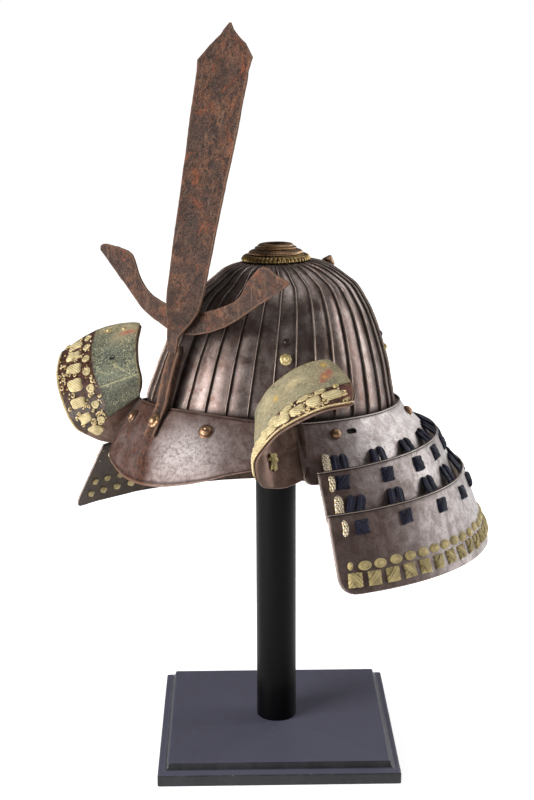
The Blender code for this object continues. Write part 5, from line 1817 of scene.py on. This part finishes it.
def make_wing_studs():
    shape = Shape("dirt")
    for side, u, v, radius in (
        ("right", 0.961, 0.40, 2.3), ("right", 0.941, 0.20, 2.0), ("left", 0.956, 0.617, 2.6),
    ):
        here, out = wing_spot(side, u, v, 0.0)
        add_turned(shape, [(0.0, 1.9), (radius * 0.5, 1.7), (radius * 0.8, 1.2), (radius, 0.4), (radius, -0.3), (0.0, -0.3)], 20, here, out)
    piece("wing_studs", shape, PAINT["gilt"])
    shape = Shape("dirt")
    # the eyelet: a near-black disk with a low rim, painted shade for the hole
    for side, u, v in (("right", 0.719, 0.305),):
        here, out = wing_spot(side, u, v, 0.0)
        add_turned(shape, [(0.0, 0.12), (2.0, 0.12), (2.6, 0.35), (3.1, 0.1), (3.1, -0.2), (0.0, -0.2)], 24, here, out)
    piece("wing_eyelet", shape, PAINT["hole"])
    # the gold cord knot on the near wing's inner curl
    fields = ("along", "across", "dirt")
    knot = Shape(*fields)
    index = 500
    for side, u, v in (("left", 0.170, 0.52), ("right", 0.170, 0.52)):
        for k, (dx, dy, turn, length) in enumerate(((0.0, 0.0, 0.6, 12.0), (1.0, 1.5, 1.9, 11.0), (-1.5, 2.0, 2.7, 9.0), (0.5, 6.5, 1.35, 12.0), (-2.0, 7.5, 1.7, 11.0))):
            index += 1
            path = []
            for i in range(9):
                t = i / 8
                f = 2.0 * t - 1.0
                x = dx + length * 0.5 * f * math.cos(turn)
                y = dy + length * 0.5 * f * math.sin(turn)
                uu, vv = u + x / 150.0, v + y / 62.0
                n = wing_normal(uu, vv)
                n = Vector((n.x if side == "left" else -n.x, n.y, n.z))
                out = -0.4 + (1.6 + 0.8 * (k % 3)) * (1.0 - f * f) ** 0.5
                # this knot lies on the iron's own face, which looks the other way
                path.append((wing_place(side, uu, vv, 0.0) - n * (IRON + out), -n))
            ribbon(knot, path, 3.6, 1.9, 2, 0.2, index, sides=14)
    piece("wing_cord_knots", knot, PAINT["gold"], sharp=60.0)


# ---------------------------------------------------------------- making it all
make_stand()
make_bowl()
make_lames()
make_wings()
make_peak()
make_crest()
make_crown()
make_rivets()
make_laces()
make_wing_knots()
make_wing_studs()


# ---------------------------------------------------------------- stage, light and camera
def make_stage():
    mesh = bpy.data.meshes.new("floor")
    size = 30.0
    mesh.from_pydata([(-size, -size, 0.0), (size, -size, 0.0), (size, size, 0.0), (-size, size, 0.0)], [], [(0, 1, 2, 3)])
    floor = bpy.data.objects.new("floor", mesh)
    bpy.context.scene.collection.objects.link(floor)
    material = bpy.data.materials.new("floor_white")
    material.use_nodes = True
    shader = material.node_tree.nodes["Principled BSDF"]
    shader.inputs["Base Color"].default_value = (0.90, 0.90, 0.90, 1.0)
    shader.inputs["Roughness"].default_value = 0.9
    shader.inputs["Specular IOR Level"].default_value = 0.1
    shader.inputs["Emission Color"].default_value = (1.0, 1.0, 1.0, 1.0)
    tree = material.node_tree
    far = tree.nodes.new("ShaderNodeVectorMath")
    far.operation = "LENGTH"
    tree.links.new(tree.nodes.new("ShaderNodeTexCoord").outputs["Object"], far.inputs[0])
    glow = tree.nodes.new("ShaderNodeMapRange")
    glow.interpolation_type = "SMOOTHSTEP"
    tree.links.new(far.outputs["Value"], glow.inputs["Value"])
    for name, value in (("From Min", 0.15), ("From Max", 2.2), ("To Min", FLOOR_GLOW[0]), ("To Max", FLOOR_GLOW[1])):
        glow.inputs[name].default_value = value
    tree.links.new(glow.outputs[0], shader.inputs["Emission Strength"])
    mesh.materials.append(material)

    # a white surround, the same all round, that gives only a little light itself
    world = bpy.data.worlds.new("studio")
    bpy.context.scene.world = world
    world.use_nodes = True
    tree = world.node_tree
    seen = tree.nodes.new("ShaderNodeLightPath").outputs["Is Camera Ray"]
    level = tree.nodes.new("ShaderNodeMapRange")
    tree.links.new(seen, level.inputs["Value"])
    level.inputs["To Min"].default_value = SURROUND
    level.inputs["To Max"].default_value = 1.0
    tree.links.new(level.outputs[0], tree.nodes["Background"].inputs["Strength"])
    tree.nodes["Background"].inputs["Color"].default_value = (1.0, 1.0, 1.0, 1.0)


FLOOR_GLOW = (0.60, 0.97)
SURROUND = 0.09


def lamp(name, at, target, wide, high, power, colour=(1.0, 1.0, 1.0)):
    light = bpy.data.lights.new(name, "AREA")
    light.shape = "RECTANGLE"
    light.size, light.size_y = wide, high
    light.energy = power
    light.color = colour
    obj = bpy.data.objects.new(name, light)
    bpy.context.scene.collection.objects.link(obj)
    obj.location = at
    obj.rotation_euler = (Vector(target) - Vector(at)).to_track_quat("-Z", "Y").to_euler()
    return obj


def make_lights():
    middle = (0.0, 0.0, 0.36)
    forward = Vector((-0.71935, 0.64771, 0.0)).normalized()
    right = Vector((0.64771, 0.71935, 0.0)).normalized()
    def place(r, f, up):
        return Vector((0.0, 0.0, up)) + right * r + forward * f
    lamp("soft_left", place(-1.34, -0.92, 0.74), middle, 1.0, 1.2, 44.0)
    lamp("soft_right", place(1.5, 0.30, 0.85), middle, 0.5, 1.1, 13.5)
    lamp("soft_rear_right", place(1.2, 1.4, 1.1), middle, 0.6, 1.0, 9.0)
    lamp("soft_top", place(0.5, 0.4, 2.2), middle, 1.0, 1.0, 6.5)
    lamp("soft_front", place(0.7, -2.4, 1.5), middle, 1.2, 1.0, 4.0)


def make_camera():
    data = bpy.data.cameras.new("camera")
    camera = bpy.data.objects.new("camera", data)
    bpy.context.scene.collection.objects.link(camera)
    data.sensor_width = 36.0
    data.lens = 72.25
    data.dof.use_dof = False
    data.clip_start, data.clip_end = 0.05, 50.0
    camera.location = (1.07664, -0.98022, 0.7156)
    look = Vector((-0.71935, 0.64771, -0.25099)).normalized()
    side = look.cross(Vector((0.0, 0.0, 1.0))).normalized()
    up = side.cross(look)
    roll = math.radians(-0.26)
    x = side * math.cos(roll) + up * math.sin(roll)
    y = up * math.cos(roll) - side * math.sin(roll)
    turn = Matrix((x, y, -look)).transposed()
    camera.rotation_euler = turn.to_euler()
    bpy.context.scene.camera = camera


make_stage()
make_lights()
make_camera()
bpy.context.scene.view_settings.view_transform = "Standard"
bpy.context.scene.view_settings.look = "None"
